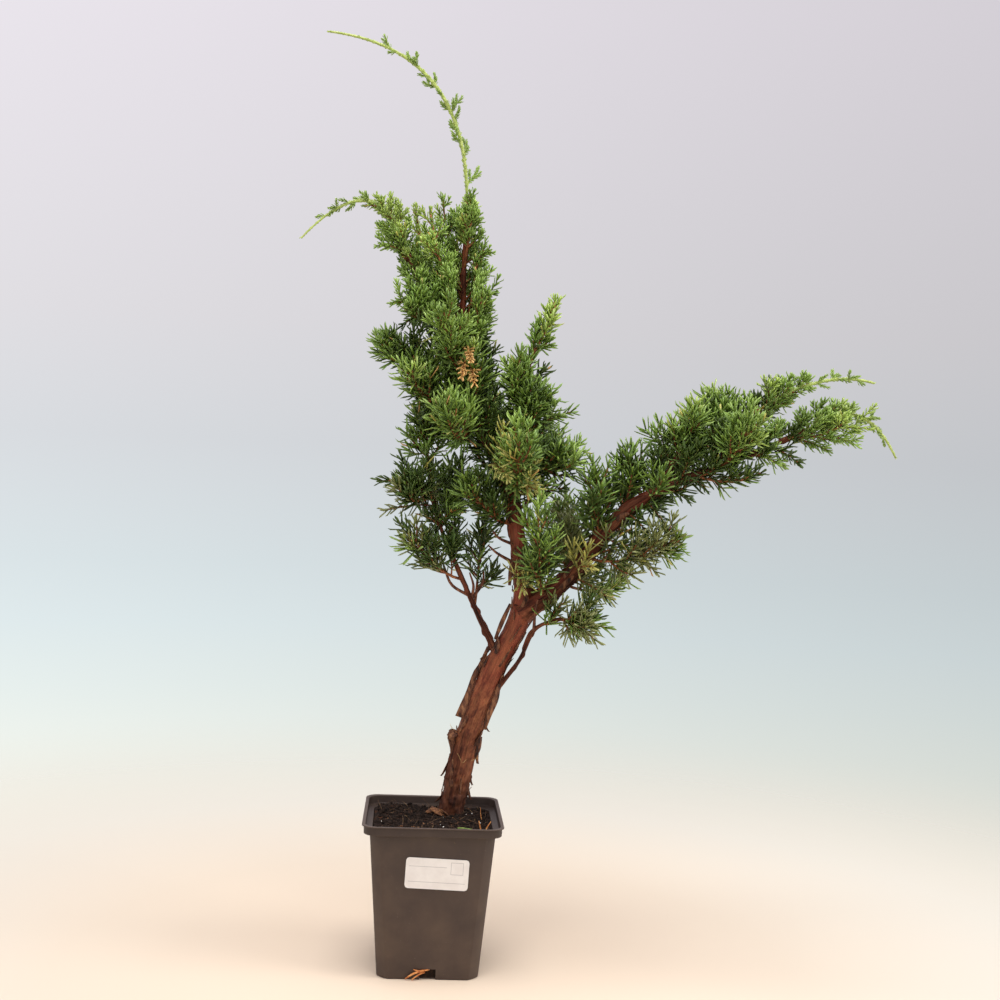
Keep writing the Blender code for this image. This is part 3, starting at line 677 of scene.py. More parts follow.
def makeLimb(name, seed):
    # A ring round each point of the limb's line: radius plus relief, at angles 0..2 pi
    line, radii, along = lines[name]
    sides = 96 if radii.max() > 7 * mm else 56 if radii.max() > 4 * mm else 24
    _, across, third = limbAxes(line)
    around, way = np.meshgrid(np.arange(sides) / sides, along)
    turn = np.exp(2j * math.pi * around)
    radius = radii[:, None] * bark["slim"].get(name, 1) * np.ones_like(around)
    if name != "trunk":  # a collar where it leaves its carrier
        radius = radius * (1 + 0.35 * np.exp(-way / (1.6 * radii[0])))
    thick = np.minimum(1, radius / (6 * mm))
    z = line[:, 2, None] * np.ones_like(around)
    height, old = barkRelief(around, way, radius, z, seed, thick, name == "trunk")
    # limbs under the foliage get extra old bark, as painted shade that darkens them
    old = np.clip(old + bark["olderAndShaded"].get(name, 0), 0, 1)
    out = turn.real[..., None] * across[:, None] + turn.imag[..., None] * third[:, None]
    rings = line[:, None] + (radius + height)[..., None] * out
    piece = putTubes(f"{name}_bark", rings[None], peelingBark(), "bark", name)
    # the pattern's own coordinates: round the limb and along it, without a seam
    grain = np.stack((radius * turn.real, radius * turn.imag, way), -1)
    for key, kind, field, values in (("grain", "FLOAT_VECTOR", "vector", grain),
                                     ("oldBarkAndShade", "FLOAT", "value", old[..., None])):
        poles = values[(0, -1), :].mean(axis=1)
        values = np.concatenate((values.reshape(-1, values.shape[-1]), poles))
        put = piece.data.attributes.new(key, kind, "POINT")
        put.data.foreach_set(field, values.astype(np.float32).ravel())


def peelingBark():
    # Juniper bark, peeling in fibrous strips: the fresh skin is smooth and fox red with a dull
    # satin, the old layers on it are tan to grey brown and matt, and the furrows nearly black.
    # Fibres are 0.5 mm wide and run with the limb.
    if "juniperBark" in bpy.data.materials:
        return bpy.data.materials["juniperBark"]
    finish, tree, shader = newFinish("juniperBark", "#8a4530", 0.62, 1.5, 0.2)
    grain = addNode(tree, "Attribute", out="Vector", attribute_name="grain")
    # the share of old bark, raised on limbs under the foliage as painted shade
    old = addNode(tree, "Attribute", out="Fac", attribute_name="oldBarkAndShade")
    height = addNode(tree, "SeparateXYZ", [addNode(tree, "TexCoord", out="Object")], "Z")
    threads = lumps(tree, grain, 0.9 * mm, 4, 0.6, (1, 1, 0.07))
    streaks = lumps(tree, grain, 4 * mm, 4, 0.6, (1, 1, 0.15))
    patches = lumps(tree, grain, 3.2 * mm, 5, 0.7, (1, 1, 0.4))
    broad = lumps(tree, grain, 15 * mm, 4, 0.6, (1, 1, 0.6))
    skin = addNode(tree, "ValToRGB", [streaks], stops=(
        (0.28, "#551f14"), (0.45, "#7e3626"), (0.60, "#974732"), (0.76, "#b07054")))
    layers = addNode(tree, "ValToRGB", [streaks], stops=(
        (0.28, "#2c160f"), (0.48, "#5a2f1f"), (0.64, "#7f4c33"), (0.80, "#9c724d")))
    scaly = addNode(tree, "ValToRGB", [patches], stops=(
        (0.36, "#43241a"), (0.45, "#7a432b"), (0.55, "#9c6340"), (0.64, "#8a4a30"),
        (0.74, "#5c3222")))
    tan = addNode(tree, "MapRange", (broad, 0.50, 0.60, 0, 0.38))
    low = addNode(tree, "MapRange", (height, 165 * mm, 200 * mm, 0.85, 0.12))
    # the bark is painted darker towards the trunk's foot, from 128 mm down to the soil
    footDarkening = addNode(tree, "MapRange", (height, 96 * mm, 128 * mm, 0.75, 0))
    furrows = addNode(tree, "MapRange", (threads, 0.36, 0.52, 0.25, 1))
    cracked = addNode(tree, "MapRange", (old, 0, 1, 0.3, 1))
    rough = addNode(tree, "MapRange", (old, 0, 1, 0.5, 0.85))
    colour = layered(tree, skin, (tan, "#a2663f"), (low, scaly), (old, layers))
    colour = layered(tree, colour, (cracked, furrows), blend="MULTIPLY")
    relief = addNode(tree, "Bump", {"Height": patches, "Distance": 0.6 * mm, "Strength": 0.8})
    fine = addNode(tree, "Bump", {"Height": threads, "Distance": 0.35 * mm, "Strength": 0.7,
                                  "Normal": relief})
    feed(tree, shader, {"Base Color": layered(tree, colour, (footDarkening, "#24130e")),
                        "Roughness": rough, "Normal": fine})
    return finish


def stripsOn(name, start, length, angle, width, lift, twist):
    # Peeling strips: along the limb from start, lifted off it with the square of the way past
    # their middle; the cross-section is a flat rectangle, narrower at the free end and turned
    # there by the twist.
    line, radii, along = lines[name]
    share = np.linspace(0, 1, 9)[None]
    way = start[:, None] + length[:, None] * share
    spot, heading, a, b = (readAt(way, along, rows) for rows in (line, *limbAxes(line)))
    turn = (angle[:, None] + 0.25 * share * np.sin(angle * 7)[:, None])[..., None]
    out = np.cos(turn) * a + np.sin(turn) * b
    side = np.cross(heading, out)
    off = np.interp(way, along, radii) + 0.5 * mm
    off = off + lift[:, None] * np.clip(2 * share - 0.7, 0, None) ** 2
    spot = spot + off[..., None] * out
    spin = twist * np.clip(2.2 * share - 0.5, 0, 1)[..., None]
    side, out = (np.cos(spin) * side + np.sin(spin) * out,
                 np.cos(spin) * out - np.sin(spin) * side)
    half = 0.5 * width[:, None] * (0.55 + 0.45 * np.sin(math.pi * np.clip(share + 0.12, 0, 1)))
    return sweep(spot, -half[..., None] * side, bark["strip"] / 2 * out, squareSection)


# x, y, z and half width in mm where each strip turns
looseStrips = (
    ((33, 13, 208, 1.0), (28.5, 12, 196, 1.6), (25, 11, 190, 1.8), (21, 10, 177, 2.0),
     (18, 9, 169, 2.4), (15.5, 9, 161, 3.0)),
    ((37, 6, 214, 1.0), (41, 3, 226, 1.5), (46, 3, 238, 1.0)),
    ((46.5, 6, 268, 1.2), (45.5, 5, 259, 1.6), (45, 6, 250, 0.9)),
    ((41, 8, 184, 1.0), (39, 8, 174, 2.0), (35, 9, 163, 1.8), (32.5, 10, 153, 1.0)),
    ((30, 11, 148, 1.3), (29, 11, 140, 1.5), (27, 12, 134, 0.8)),
    ((40, 5, 196, 1.0), (43.5, 5, 203, 1.6), (48, 5, 210, 0.8)),
)
# dead twigs without leaves: x, y, z and radius in mm where each turns
deadTwigs = (
    ((19, 5, 242, 1.1), (7, 2, 249, 1.0), (2, 0, 259, 0.8), (-1, -3, 268, 0.5)),
    ((20, 5, 240, 1.1), (21, 2, 249, 0.9), (18, -2, 258, 0.5)),
    ((20, 5, 240, 1.2), (27, 10, 250, 1.0), (28, 14, 258, 0.6)),
    ((47, 8, 265, 1.3), (36, 3, 271, 0.9), (30, 2, 276, 0.5)),
    ((47, 7, 277, 1.2), (37, 2, 281, 0.9), (32, 0, 286, 0.5)),
    ((62, 1, 221, 1.2), (62, -2, 232, 0.9), (63, -6, 242, 0.5)),
)
# thin roots that come out of the front drain slot, in the same way
drainRoots = (
    ((-1, -29, 5, 0.8), (-3, -33, 6, 0.8), (-9, -34.2, 4.5, 0.7), (-14, -34.6, 1.2, 0.4)),
    ((0, -29, 4, 0.5), (-4, -33.4, 4.4, 0.5), (-8, -34.4, 2.2, 0.4), (-10, -35, 0.7, 0.3)),
    ((2, -29, 6.2, 0.5), (0, -33, 6.6, 0.5), (-6, -34, 6.4, 0.4), (-9, -34.2, 7.2, 0.3)),
)


def bentPieces(name, lot, finish, slot, section, rows, thickness=None):
    # A cross-section square to each smooth line, that many times along it: as wide as the line's
    # radius, and as thick too or else as given.
    rings = []
    for turns in lot:
        line, radii, _ = lineOf(turns)
        chosen = np.linspace(0, len(line) - 1, rows).round().astype(int)
        line, radii = line[chosen], radii[chosen, None]
        _, across, third = limbAxes(line)
        rings.append(sweep(line, radii * across, (thickness or radii) * third, section))
    putTubes(name, np.stack(rings), finish, slot)


def peelBark():
    # loose flakes over trunk and bough, then the few long ones that show against the light
    rng = np.random.default_rng(31)
    rings = []
    for name, count, low, high in bark["flakes"]:
        start = rng.uniform(low, high, count) * mm
        width = rng.uniform(0.9, 4.0, count) * mm
        rings.append(stripsOn(name, start, rng.uniform(3, 14, count) * mm,
                              rng.uniform(0, 2 * math.pi, count), width,
                              rng.uniform(0.1, 1.0, count) ** 2 * 2.2 * mm,
                              rng.uniform(-0.8, 0.8, (count, 1, 1))))
    # start and length along the trunk, angle (180 is the left side), width, lift: all in mm, deg
    seen = np.array((
        (118, -22, 186, 3.0, 1.2), (95, -14, 172, 2.6, 1.8),
        (40, -12, 12, 3.0, 2.2), (62, -16, -6, 3.4, 1.6), (78, -9, 4, 3.2, 2.8),
        (88, -12, -20, 2.2, 1.4), (30, -10, 0, 3.0, 1.8), (132, -18, 176, 2.2, 1.6),
        (22, -9, 190, 2.6, 1.5), (48, -16, 182, 2.4, 1.6), (140, 12, 8, 2.0, 1.6)))
    start, length, angle, width, lift = seen.T
    rings.append(stripsOn("trunk", start * mm, length * mm, np.radians(angle), width * mm,
                          lift * mm, math.radians(65)))
    # strips that run down the limb wind the other way, so their rings are turned over
    rings[-1][length < 0] = rings[-1][length < 0][:, :, ::-1]
    putTubes("bark_flakes", np.concatenate(rings), looseBark, "bark")
    # long loose strips whose flat side shows from the front
    bentPieces("bark_strips", looseStrips, looseBark, "bark", squareSection, 12, 0.25 * mm)
    # hair fibres: one curl on the trunk's front and a few thin ends at its sides
    starts = np.array(((15, 7.5, 137), (18.5, 7.5, 131), (24.5, 13, 131), (10.5, 14, 150.5),
                       (12, 14, 151), (13.5, 15, 139))) * mm
    heads = np.array(((0.5, -0.2, -1), (0.9, -0.1, 0.5), (1, 0, 0.5), (0.1, 0, 1),
                      (-0.3, 0, 1), (-0.5, 0, -1)))
    rings = strands(starts, heads, np.array((7, 3.5, 5, 5, 3.5, 4)) * mm, np.full(6, 0.16 * mm),
                    rng, 10)
    putTubes("bark_hairs", rings, barkHair, "bark")


def makeKnob():
    # The stub of a lost branch on the trunk's left: a globe of rows by columns, drawn out
    # downwards to a torn tail and roughened by noise.
    rows, columns = 40, 48
    tilt = np.linspace(0.03, math.pi - 0.03, rows)[::-1, None]
    around = np.arange(columns)[None] / columns
    rough = (0.22 * latticeNoise(around, tilt * 2.2, 7, 41)
             + 0.16 * latticeNoise(around, tilt * 5, 15, 42))
    down = -np.cos(tilt)
    tail = np.clip(down, 0, None)
    width = (1 + rough) * np.sin(tilt) ** 0.8 * (1 - 0.45 * tail)
    x = 3.6 * width * np.cos(2 * math.pi * around) - 0.5
    y = 3.4 * width * np.sin(2 * math.pi * around)
    z = -down * (4.6 + 6.5 * tail ** 2) * (1 + 0.4 * rough)
    rings = (np.array((12, 15, 147)) + np.stack((x, y, z), -1)) * mm
    putTubes("stub_knob", rings[None], looseBark, "bark")


# Loose bark: dry papery layers, grey brown to tan. Bark hairs: single pale fibres. Dead
# twigs: dark brown, thin bark.
looseBark = grownFinish("looseBark", ("#2f1b13", "#613a27", "#8f6141"), 2.4 * mm, 0.85,
                        (1, 1, 0.35), 0.3 * mm)
deadWood = grownFinish("deadTwig", ("#3f251a", "#6a3c28", "#8d5a3e"), 2 * mm, 0.75,
                       (1, 1, 0.4), 0.2 * mm)
barkHair = grownFinish("barkFibre", ("#8a6a3c", "#b08a52", "#c9a86e"), 3 * mm, 0.6)


# Foliage, grown by the source's rule and carried on to finer twigs

# carrier, share of its length where the stem leaves it, the stem's tip, longest twig and number
# of twigs: all lengths in mm
foliage = {
    "crown_top_right": ("trunk", 0.89, (10, 1, 501), 13, 4),
    "crown_top_left": ("trunk", 0.84, (-9, 23, 505), 13, 4),
    "crown_left_front": ("trunk", 0.79, (-17, -6, 492), 18, 4),
    "crown_left_tall": ("trunk", 0.81, (-28, 34, 500), 18, 5),
    "crown_left_shoot": ("top_left_branch", 0.78, (-45, 18, 500), 14, 4),
    "crown_left_low": ("top_left_branch", 0.45, (-25, -10, 425), 16, 4),
    "crown_right": ("trunk", 0.79, (16, 2, 470), 15, 4),
    "crown_right_low": ("trunk", 0.75, (19, -12, 441), 16, 4),
    "crown_front": ("trunk", 0.73, (-6, -32, 425), 21, 5),
    "crown_back": ("trunk", 0.71, (-3, 50, 418), 22, 4),
    "middle_left_tip": ("middle_left_branch", 0.98, (-44, -4, 404), 12, 4),
    "middle_left_low": ("middle_left_branch", 0.45, (-27, -18, 388), 18, 4),
    "middle_left_back": ("trunk", 0.67, (-13, 42, 352), 23, 5),
    "middle_front": ("trunk", 0.66, (-1, -38, 356), 22, 4),
    "middle_right": ("trunk", 0.68, (17, -14, 394), 17, 4),
    "middle_back": ("trunk", 0.63, (26, 58, 378), 24, 5),
    "lower_left_tip": ("lower_left_branch", 0.98, (-14, 6, 360), 17, 4),
    "lower_left_outer": ("lower_left_branch", 0.84, (-26, -14, 308), 18, 4),
    "lower_left_back": ("lower_left_branch", 0.70, (10, 42, 328), 22, 5),
    "lower_left_bottom": ("lower_left_branch", 0.42, (-24, -18, 286), 18, 4),
    "inner_left": ("lower_left_branch", 0.28, (27, 34, 295), 17, 4),
    "inner_front": ("trunk", 0.49, (15, -24, 318), 22, 4),
    "centre_spray": ("centre_branch", 0.98, (67, 0, 438), 10, 4),
    "centre_peak": ("centre_branch", 0.60, (41, -18, 393), 15, 4),
    "centre_right": ("centre_branch", 0.56, (55, -12, 369), 16, 4),
    "centre_right_low": ("centre_branch", 0.29, (81, -14, 331), 21, 5),
    "centre_front": ("centre_branch", 0.14, (44, -50, 344), 24, 5),
    "centre_back": ("trunk", 0.56, (69, 54, 352), 25, 5),
    "bough_start_top": ("right_bough", 0.32, (97, -18, 326), 19, 4),
    "bough_middle_top": ("right_bough", 0.43, (122, -4, 337), 17, 4),
    "bough_start_back": ("right_bough", 0.19, (86, 46, 304), 25, 4),
    "bough_middle_back": ("right_bough", 0.48, (160, 34, 339), 22, 5),
    "under_bough": ("right_bough", 0.25, (151, -24, 287), 22, 4),
    "under_bough_low": ("right_bough", 0.15, (121, 18, 253), 18, 4),
    "fork_front": ("right_bough", 0.08, (58, -42, 304), 22, 4),
    "lower_right_tip": ("lower_right_twig", 0.98, (93, -12, 229), 16, 4),
    "right_front_top": ("upper_right_branch", 0.24, (160, -22, 365), 17, 4),
    "right_back_top": ("upper_right_branch", 0.54, (183, 12, 379), 15, 4),
    "right_front": ("right_bough", 0.73, (190, -42, 361), 19, 4),
    "right_upper_tip": ("upper_right_branch", 0.82, (229, 15, 388), 14, 4),
    "right_lower_tip": ("right_bough", 0.96, (256, -36, 367), 13, 4),
    "right_below": ("right_bough", 0.66, (202, -30, 331), 10, 3),
}
# long slim shoots at the tips: carrier, the point that they bend towards, tip, longest side shoot
whips = {
    "leader_whip": ("trunk", (2, 2, 600), (-85, -12, 602), 11),
    "left_whip": ("top_left_branch", (-52, -2, 525), (-98, -10, 471), 9),
    "upper_right_whip": ("upper_right_branch", (247, 1, 402), (282, 0, 394), 9),
    "lower_right_whip": ("right_bough", (267, -24, 389), (290, -26, 345), 9),
}
# leafy sprays straight from a limb, on twigs too fine for the source: the shares of the limb
# between which they stand, their number and the longest one in mm
limbSprays = {
    "trunk": (0.50, 0.98, 50, 44),
    "right_bough": (0.12, 0.99, 42, 29),
    "upper_right_branch": (0.15, 0.98, 15, 27),
    "lower_left_branch": (0.50, 0.97, 13, 27),
    "middle_left_branch": (0.20, 0.97, 13, 30),
    "top_left_branch": (0.15, 0.95, 13, 26),
    "centre_branch": (0.12, 0.95, 15, 27),
    "lower_right_twig": (0.80, 0.97, 4, 24),
}
# single sprays that stand out or fill the outline: foot and tip in mm, needle length in mm and
# colour, or None where it is dealt like the others
oddSprays = (
    ((11, 8, 404), (7, -36, 384), 7.0, "dry"), ((12, 6, 400), (15, -34, 380), 7.0, "dry"),
    ((10, 8, 408), (12, -38, 394), 6.0, "dry"), ((50, 3, 262), (52, -14, 250), 11.0, "pale"),
    ((52, 3, 270), (62, -12, 256), 10.0, "pale"), ((30, 0, 330), (38, -40, 322), 11.0, "pale"),
    ((34, 2, 318), (58, -34, 314), 11.0, "pale"), ((86, -2, 262), (96, -24, 266), 9.0, "pale"),
    ((130, -11, 310), (144, -24, 292), 10.0, None), ((118, -9, 302), (130, -22, 290), 10.0, None),
    ((140, -13, 318), (157, -24, 312), 9.0, None), ((158, -15, 325), (167, -22, 320), 8.0, None),
    ((196, -19, 342), (216, -28, 336), 8.0, None), ((208, -20, 348), (226, -30, 338), 8.0, None),
    ((222, -21, 354), (244, -30, 347), 8.0, None), ((232, -22, 359), (262, -32, 351), 7.0, "bright"),
    ((232, -22, 359), (270, -30, 362), 7.0, "fresh"), ((70, -2, 226), (80, -14, 242), 11.0, "grey"),
    ((80, -6, 231), (84, -14, 219), 11.0, "grey"), ((80, -6, 231), (101, -14, 218), 11.0, "grey"),
    ((76, -4, 229), (108, -12, 226), 12.0, "mid"), ((-8, 1, 301), (-38, -12, 297), 10.0, "grey"),
    ((-3, 0, 290), (10, -14, 300), 10.0, None), ((-12, 11, 433), (-38, -10, 431), 8.0, None),
    ((-10, 12, 431), (-32, -8, 417), 8.0, None), ((-31, 6, 467), (-50, -4, 468), 6.0, "bright"),
    ((-30, 7, 466), (-48, -2, 483), 6.0, "bright"), ((8, 13, 462), (24, 0, 468), 6.0, None),
    ((8, 15, 432), (27, -3, 441), 7.0, "mid"), ((-9, 3, 312), (-42, -8, 316), 12.0, "deep"),
    ((52, 1, 350), (80, -10, 366), 10.0, "mid"), ((52, 2, 352), (71, -14, 362), 11.0, "bright"),
    ((48, 12, 303), (76, -14, 316), 11.0, None), ((92, -1, 268), (120, -18, 281), 11.0, None),
    ((-4, 7, 370), (-26, -10, 410), 9.0, None), ((-14, 5, 382), (-34, -12, 406), 9.0, None),
    ((50, 10, 300), (66, -20, 318), 12.0, None), ((105, -5, 285), (138, -18, 264), 10.0, "grey"),
    ((110, -6, 292), (148, -20, 276), 10.0, None), ((84, 2, 258), (108, -16, 246), 12.0, "grey"),
)
growth = {
    "seed": 7,  # the source's, so that the main twigs are the same ones
    "twigAngle": (math.radians(62), math.radians(38)),  # at the stem's foot and tip
    "twigTurn": 0.45,  # how far a twig bends back to its stem's heading
    "bare": 0.3,  # share of a stem without twigs
    "lastTwig": 0.88,
    "sag": 0.24,  # more than the source's, for stems that rise towards their tips
    "lift": (0.35, 0.8, 0.55),  # how far main, finer and side twigs turn upwards
    "frontLift": 2.6,  # how much more they do on a stem that points to the front or back
    "bareTrunk": (428, 476),  # heights in mm
    "bareBelow": (30, 258),  # x and height in mm
    # masses with half the finer twigs
    "thin": ("inner_left", "under_bough_low", "right_lower_tip", "right_upper_tip"),
    "whipTwigs": 5,
    "extraTwigs": 11,  # between the main twigs of a stem
    "subTwigs": 4,  # on each main twig
    "subShare": 0.32,  # of them that old foliage has
    "needle": (13.0 * mm, 5.2 * mm),  # old foliage, low in the tree, and young, at its top
    "needleHalf": (0.72 * mm, 0.56 * mm),
    "whorlStep": (3.5 * mm, 2.2 * mm),
    "whorl": 3,  # needles in each
    "lean": (58, 40),  # degrees from the shoot at its foot
    "leanTip": (26, 18),
    "keel": 0.85,  # of the half width
    "shoulder": 0.82,  # share of the needle where it starts to taper
}
# Numbers of the sprays, for their colours: a stem's are a hundred times its own number and up,
# the whips' first. Those of the limbs, the odd ones and the green ones at the whips' feet:
sprayNumbers = {"limb": 10000, "odd": 20000, "foot": 30000}


def bendAt(ends, share):
    # point of the quadratic curve start, control, end: (1 - t)^2 a + 2 t (1 - t) b + t^2 c
    t = share[..., None]
    a, b, c = np.moveaxis(ends, -2, 0)
    return (1 - t) ** 2 * a + 2 * t * (1 - t) * b + t ** 2 * c


def headingAt(ends, share):
    # its direction: the two legs mixed by the share
    t = share[..., None]
    a, b, c = np.moveaxis(ends, -2, 0)
    return unit((1 - t) * (b - a) + t * (c - b))


def sideways(ahead, angle):
    # unit vector square to the heading, turned round it by the angle
    across = np.cross(ahead, upwards)
    steep = np.linalg.norm(across, axis=-1, keepdims=True) < 0.1
    across = unit(np.where(steep, np.cross(ahead, (0.0, 1.0, 0.0)), across))
    return (np.cos(angle)[..., None] * across
            + np.sin(angle)[..., None] * np.cross(ahead, across))


def twigsFrom(ends, share, azimuth, length, lift=0.0):
    # A twig leaves at 62 degrees near the stem's foot and 38 near its tip, turned round the stem
    # by the azimuth, and half way bends 45 % back to the stem's heading. With lift it also turns
    # upwards and is longer the more it does, most on a stem that points to the front or back.
    ahead = headingAt(ends, share)
    wide, narrow = growth["twigAngle"]
    angle = (wide + (narrow - wide) * share)[..., None]
    first = np.cos(angle) * ahead + np.sin(angle) * sideways(ahead, azimuth)
    level = ease(0.3, 0.85, np.abs(ahead[..., 1:2]))
    rise = lift * (1 + growth["frontLift"] * level) * upwards
    first = unit(first + 0.35 * level * rise)
    then = unit(first + growth["twigTurn"] * (ahead - first) + rise)
    grown = 1 + (0.6 * lift + 0.9 * min(lift, 0.5) * level[..., 0]) * first[..., 2]
    return twoLegs(bendAt(ends, share), first, then, length * np.clip(grown, 0.35, 1.3))


def twoLegs(start, first, then, length):
    # a shoot's three points: half its length one way, and half the other
    control = start + first * length[..., None] / 2
    return np.stack((start, control, control + then * length[..., None] / 2), -2)


def alongLimb(name, shares):
    # points on a limb's line and the limb's headings there
    line, _, along = lines[name]
    way = np.asarray(shares) * along[-1]
    return readAt(way, along, line), readAt(way, along, limbAxes(line)[0])


limbSpots = np.concatenate([line[::2] for line, _, _ in lines.values()])
limbRadii = np.concatenate([radii[::2] for _, radii, _ in lines.values()])


def clearOf(points, room):
    # whether each point stays that far outside every limb, 4000 points at a time
    free = []
    for part in np.array_split(points, len(points) // 4000 + 1):
        apart = np.linalg.norm(part[:, None] - limbSpots[None], axis=-1) - limbRadii
        free.append(apart.min(axis=1) > room)
    return np.concatenate(free)


def inBarePlace(points):
    # the trunk's front is bare high in the crown, and so is the lowest left branch's foot
    x, y, z = np.moveaxis(points / mm, -1, 0)
    low, high = growth["bareTrunk"]
    front = (np.abs(x - 7.5) < 4.5) & (y < 13) & (z > low) & (z < high)
    return front | ((x < growth["bareBelow"][0]) & (z < growth["bareBelow"][1]))


def youth(points):
    # 0 low and inside the tree, 1 at its top, and part of the way at the end of the bough
    x, z = points[..., 0] / mm, points[..., 2] / mm
    return np.maximum(ease(365, 485, z), 0.9 * ease(155, 245, x))


def graded(key, young):
    # a needle's measure, from that of old foliage at 0 to that of young foliage at 1
    old, new = growth[key]
    return old + (new - old) * young


def growCrown():
    # The whips' and the masses' stems, and the source's main twigs on them, each as three points;
    # owner is the number of a twig's stem.
    draw = random.Random(growth["seed"])
    sources = {name: (carrier, 1.0, tip, reach, growth["whipTwigs"])
               for name, (carrier, _, tip, reach) in whips.items()} | foliage
    stems, turns, mains, owner = [], [], [], []
    for number, (name, (carrier, share, tip, reach, count)) in enumerate(sources.items()):
        slim = name in whips
        start, tip = alongLimb(carrier, share)[0], np.array(tip) * mm
        span = np.linalg.norm(tip - start)
        sag = growth["sag"] + 0.2 * ease(0.4, 0.9, abs(tip[1] - start[1]) / span)
        control = (np.array(whips[name][1]) * mm if slim
                   else start + (tip - start) / 2 - sag * span * upwards)
        stem = np.stack((start, control, tip))
        turn = draw.uniform(0, 2 * math.pi)
        bare = 0.2 if slim else growth["bare"]
        shares = bare + (growth["lastTwig"] - bare) * np.arange(count) / count
        uneven = np.array([draw.uniform(0.88, 1.12) for _ in range(count)])
        length = reach * mm * (1.15 - 0.45 * shares) * uneven
        stems.append(stem)
        turns.append(turn)
        mains.append(twigsFrom(np.repeat(stem[None], count, 0), shares,
                               turn + np.arange(count) * goldenAngle, length,
                               0.0 if slim else growth["lift"][0]))
        owner += [number] * count
    reach = np.array([source[3] * mm for source in sources.values()])
    return np.stack(stems), np.array(turns), reach, np.concatenate(mains), np.array(owner)


def limbShoots():
    # Sprays that leave a limb at 60 degrees, turned round it by the golden angle, and bend
    # upwards; those on top are the longest, and the bough's front is bare near the fork.
    ends, numbers = [], []
    for order, (name, (low, high, count, reach)) in enumerate(limbSprays.items()):
        k = np.arange(count)
        shares = low + (high - low) * (k + 0.5) / count
        start, ahead = alongLimb(name, shares)
        out = sideways(ahead, k * goldenAngle + order)
        first = unit(0.55 * ahead + out)
        then = unit(first + 0.6 * (upwards - first))
        length = reach * mm * (1.25 - shares) * (0.95 + 0.2 * out[:, 2])
        if name == "right_bough":
            front = ease(0.2, -0.4, out[:, 1])
            length = length * (1 + front * np.where(shares < 0.45, -0.9, 0.3))
        ends.append(twoLegs(start, first, then, length))
        numbers.append(sprayNumbers["limb"] + order * 100 + k)
    return np.concatenate(ends), np.concatenate(numbers)


def eachWith(members, count):
    # every member count times, and the number of each time
    return np.repeat(members, count), np.tile(np.arange(count), len(members))


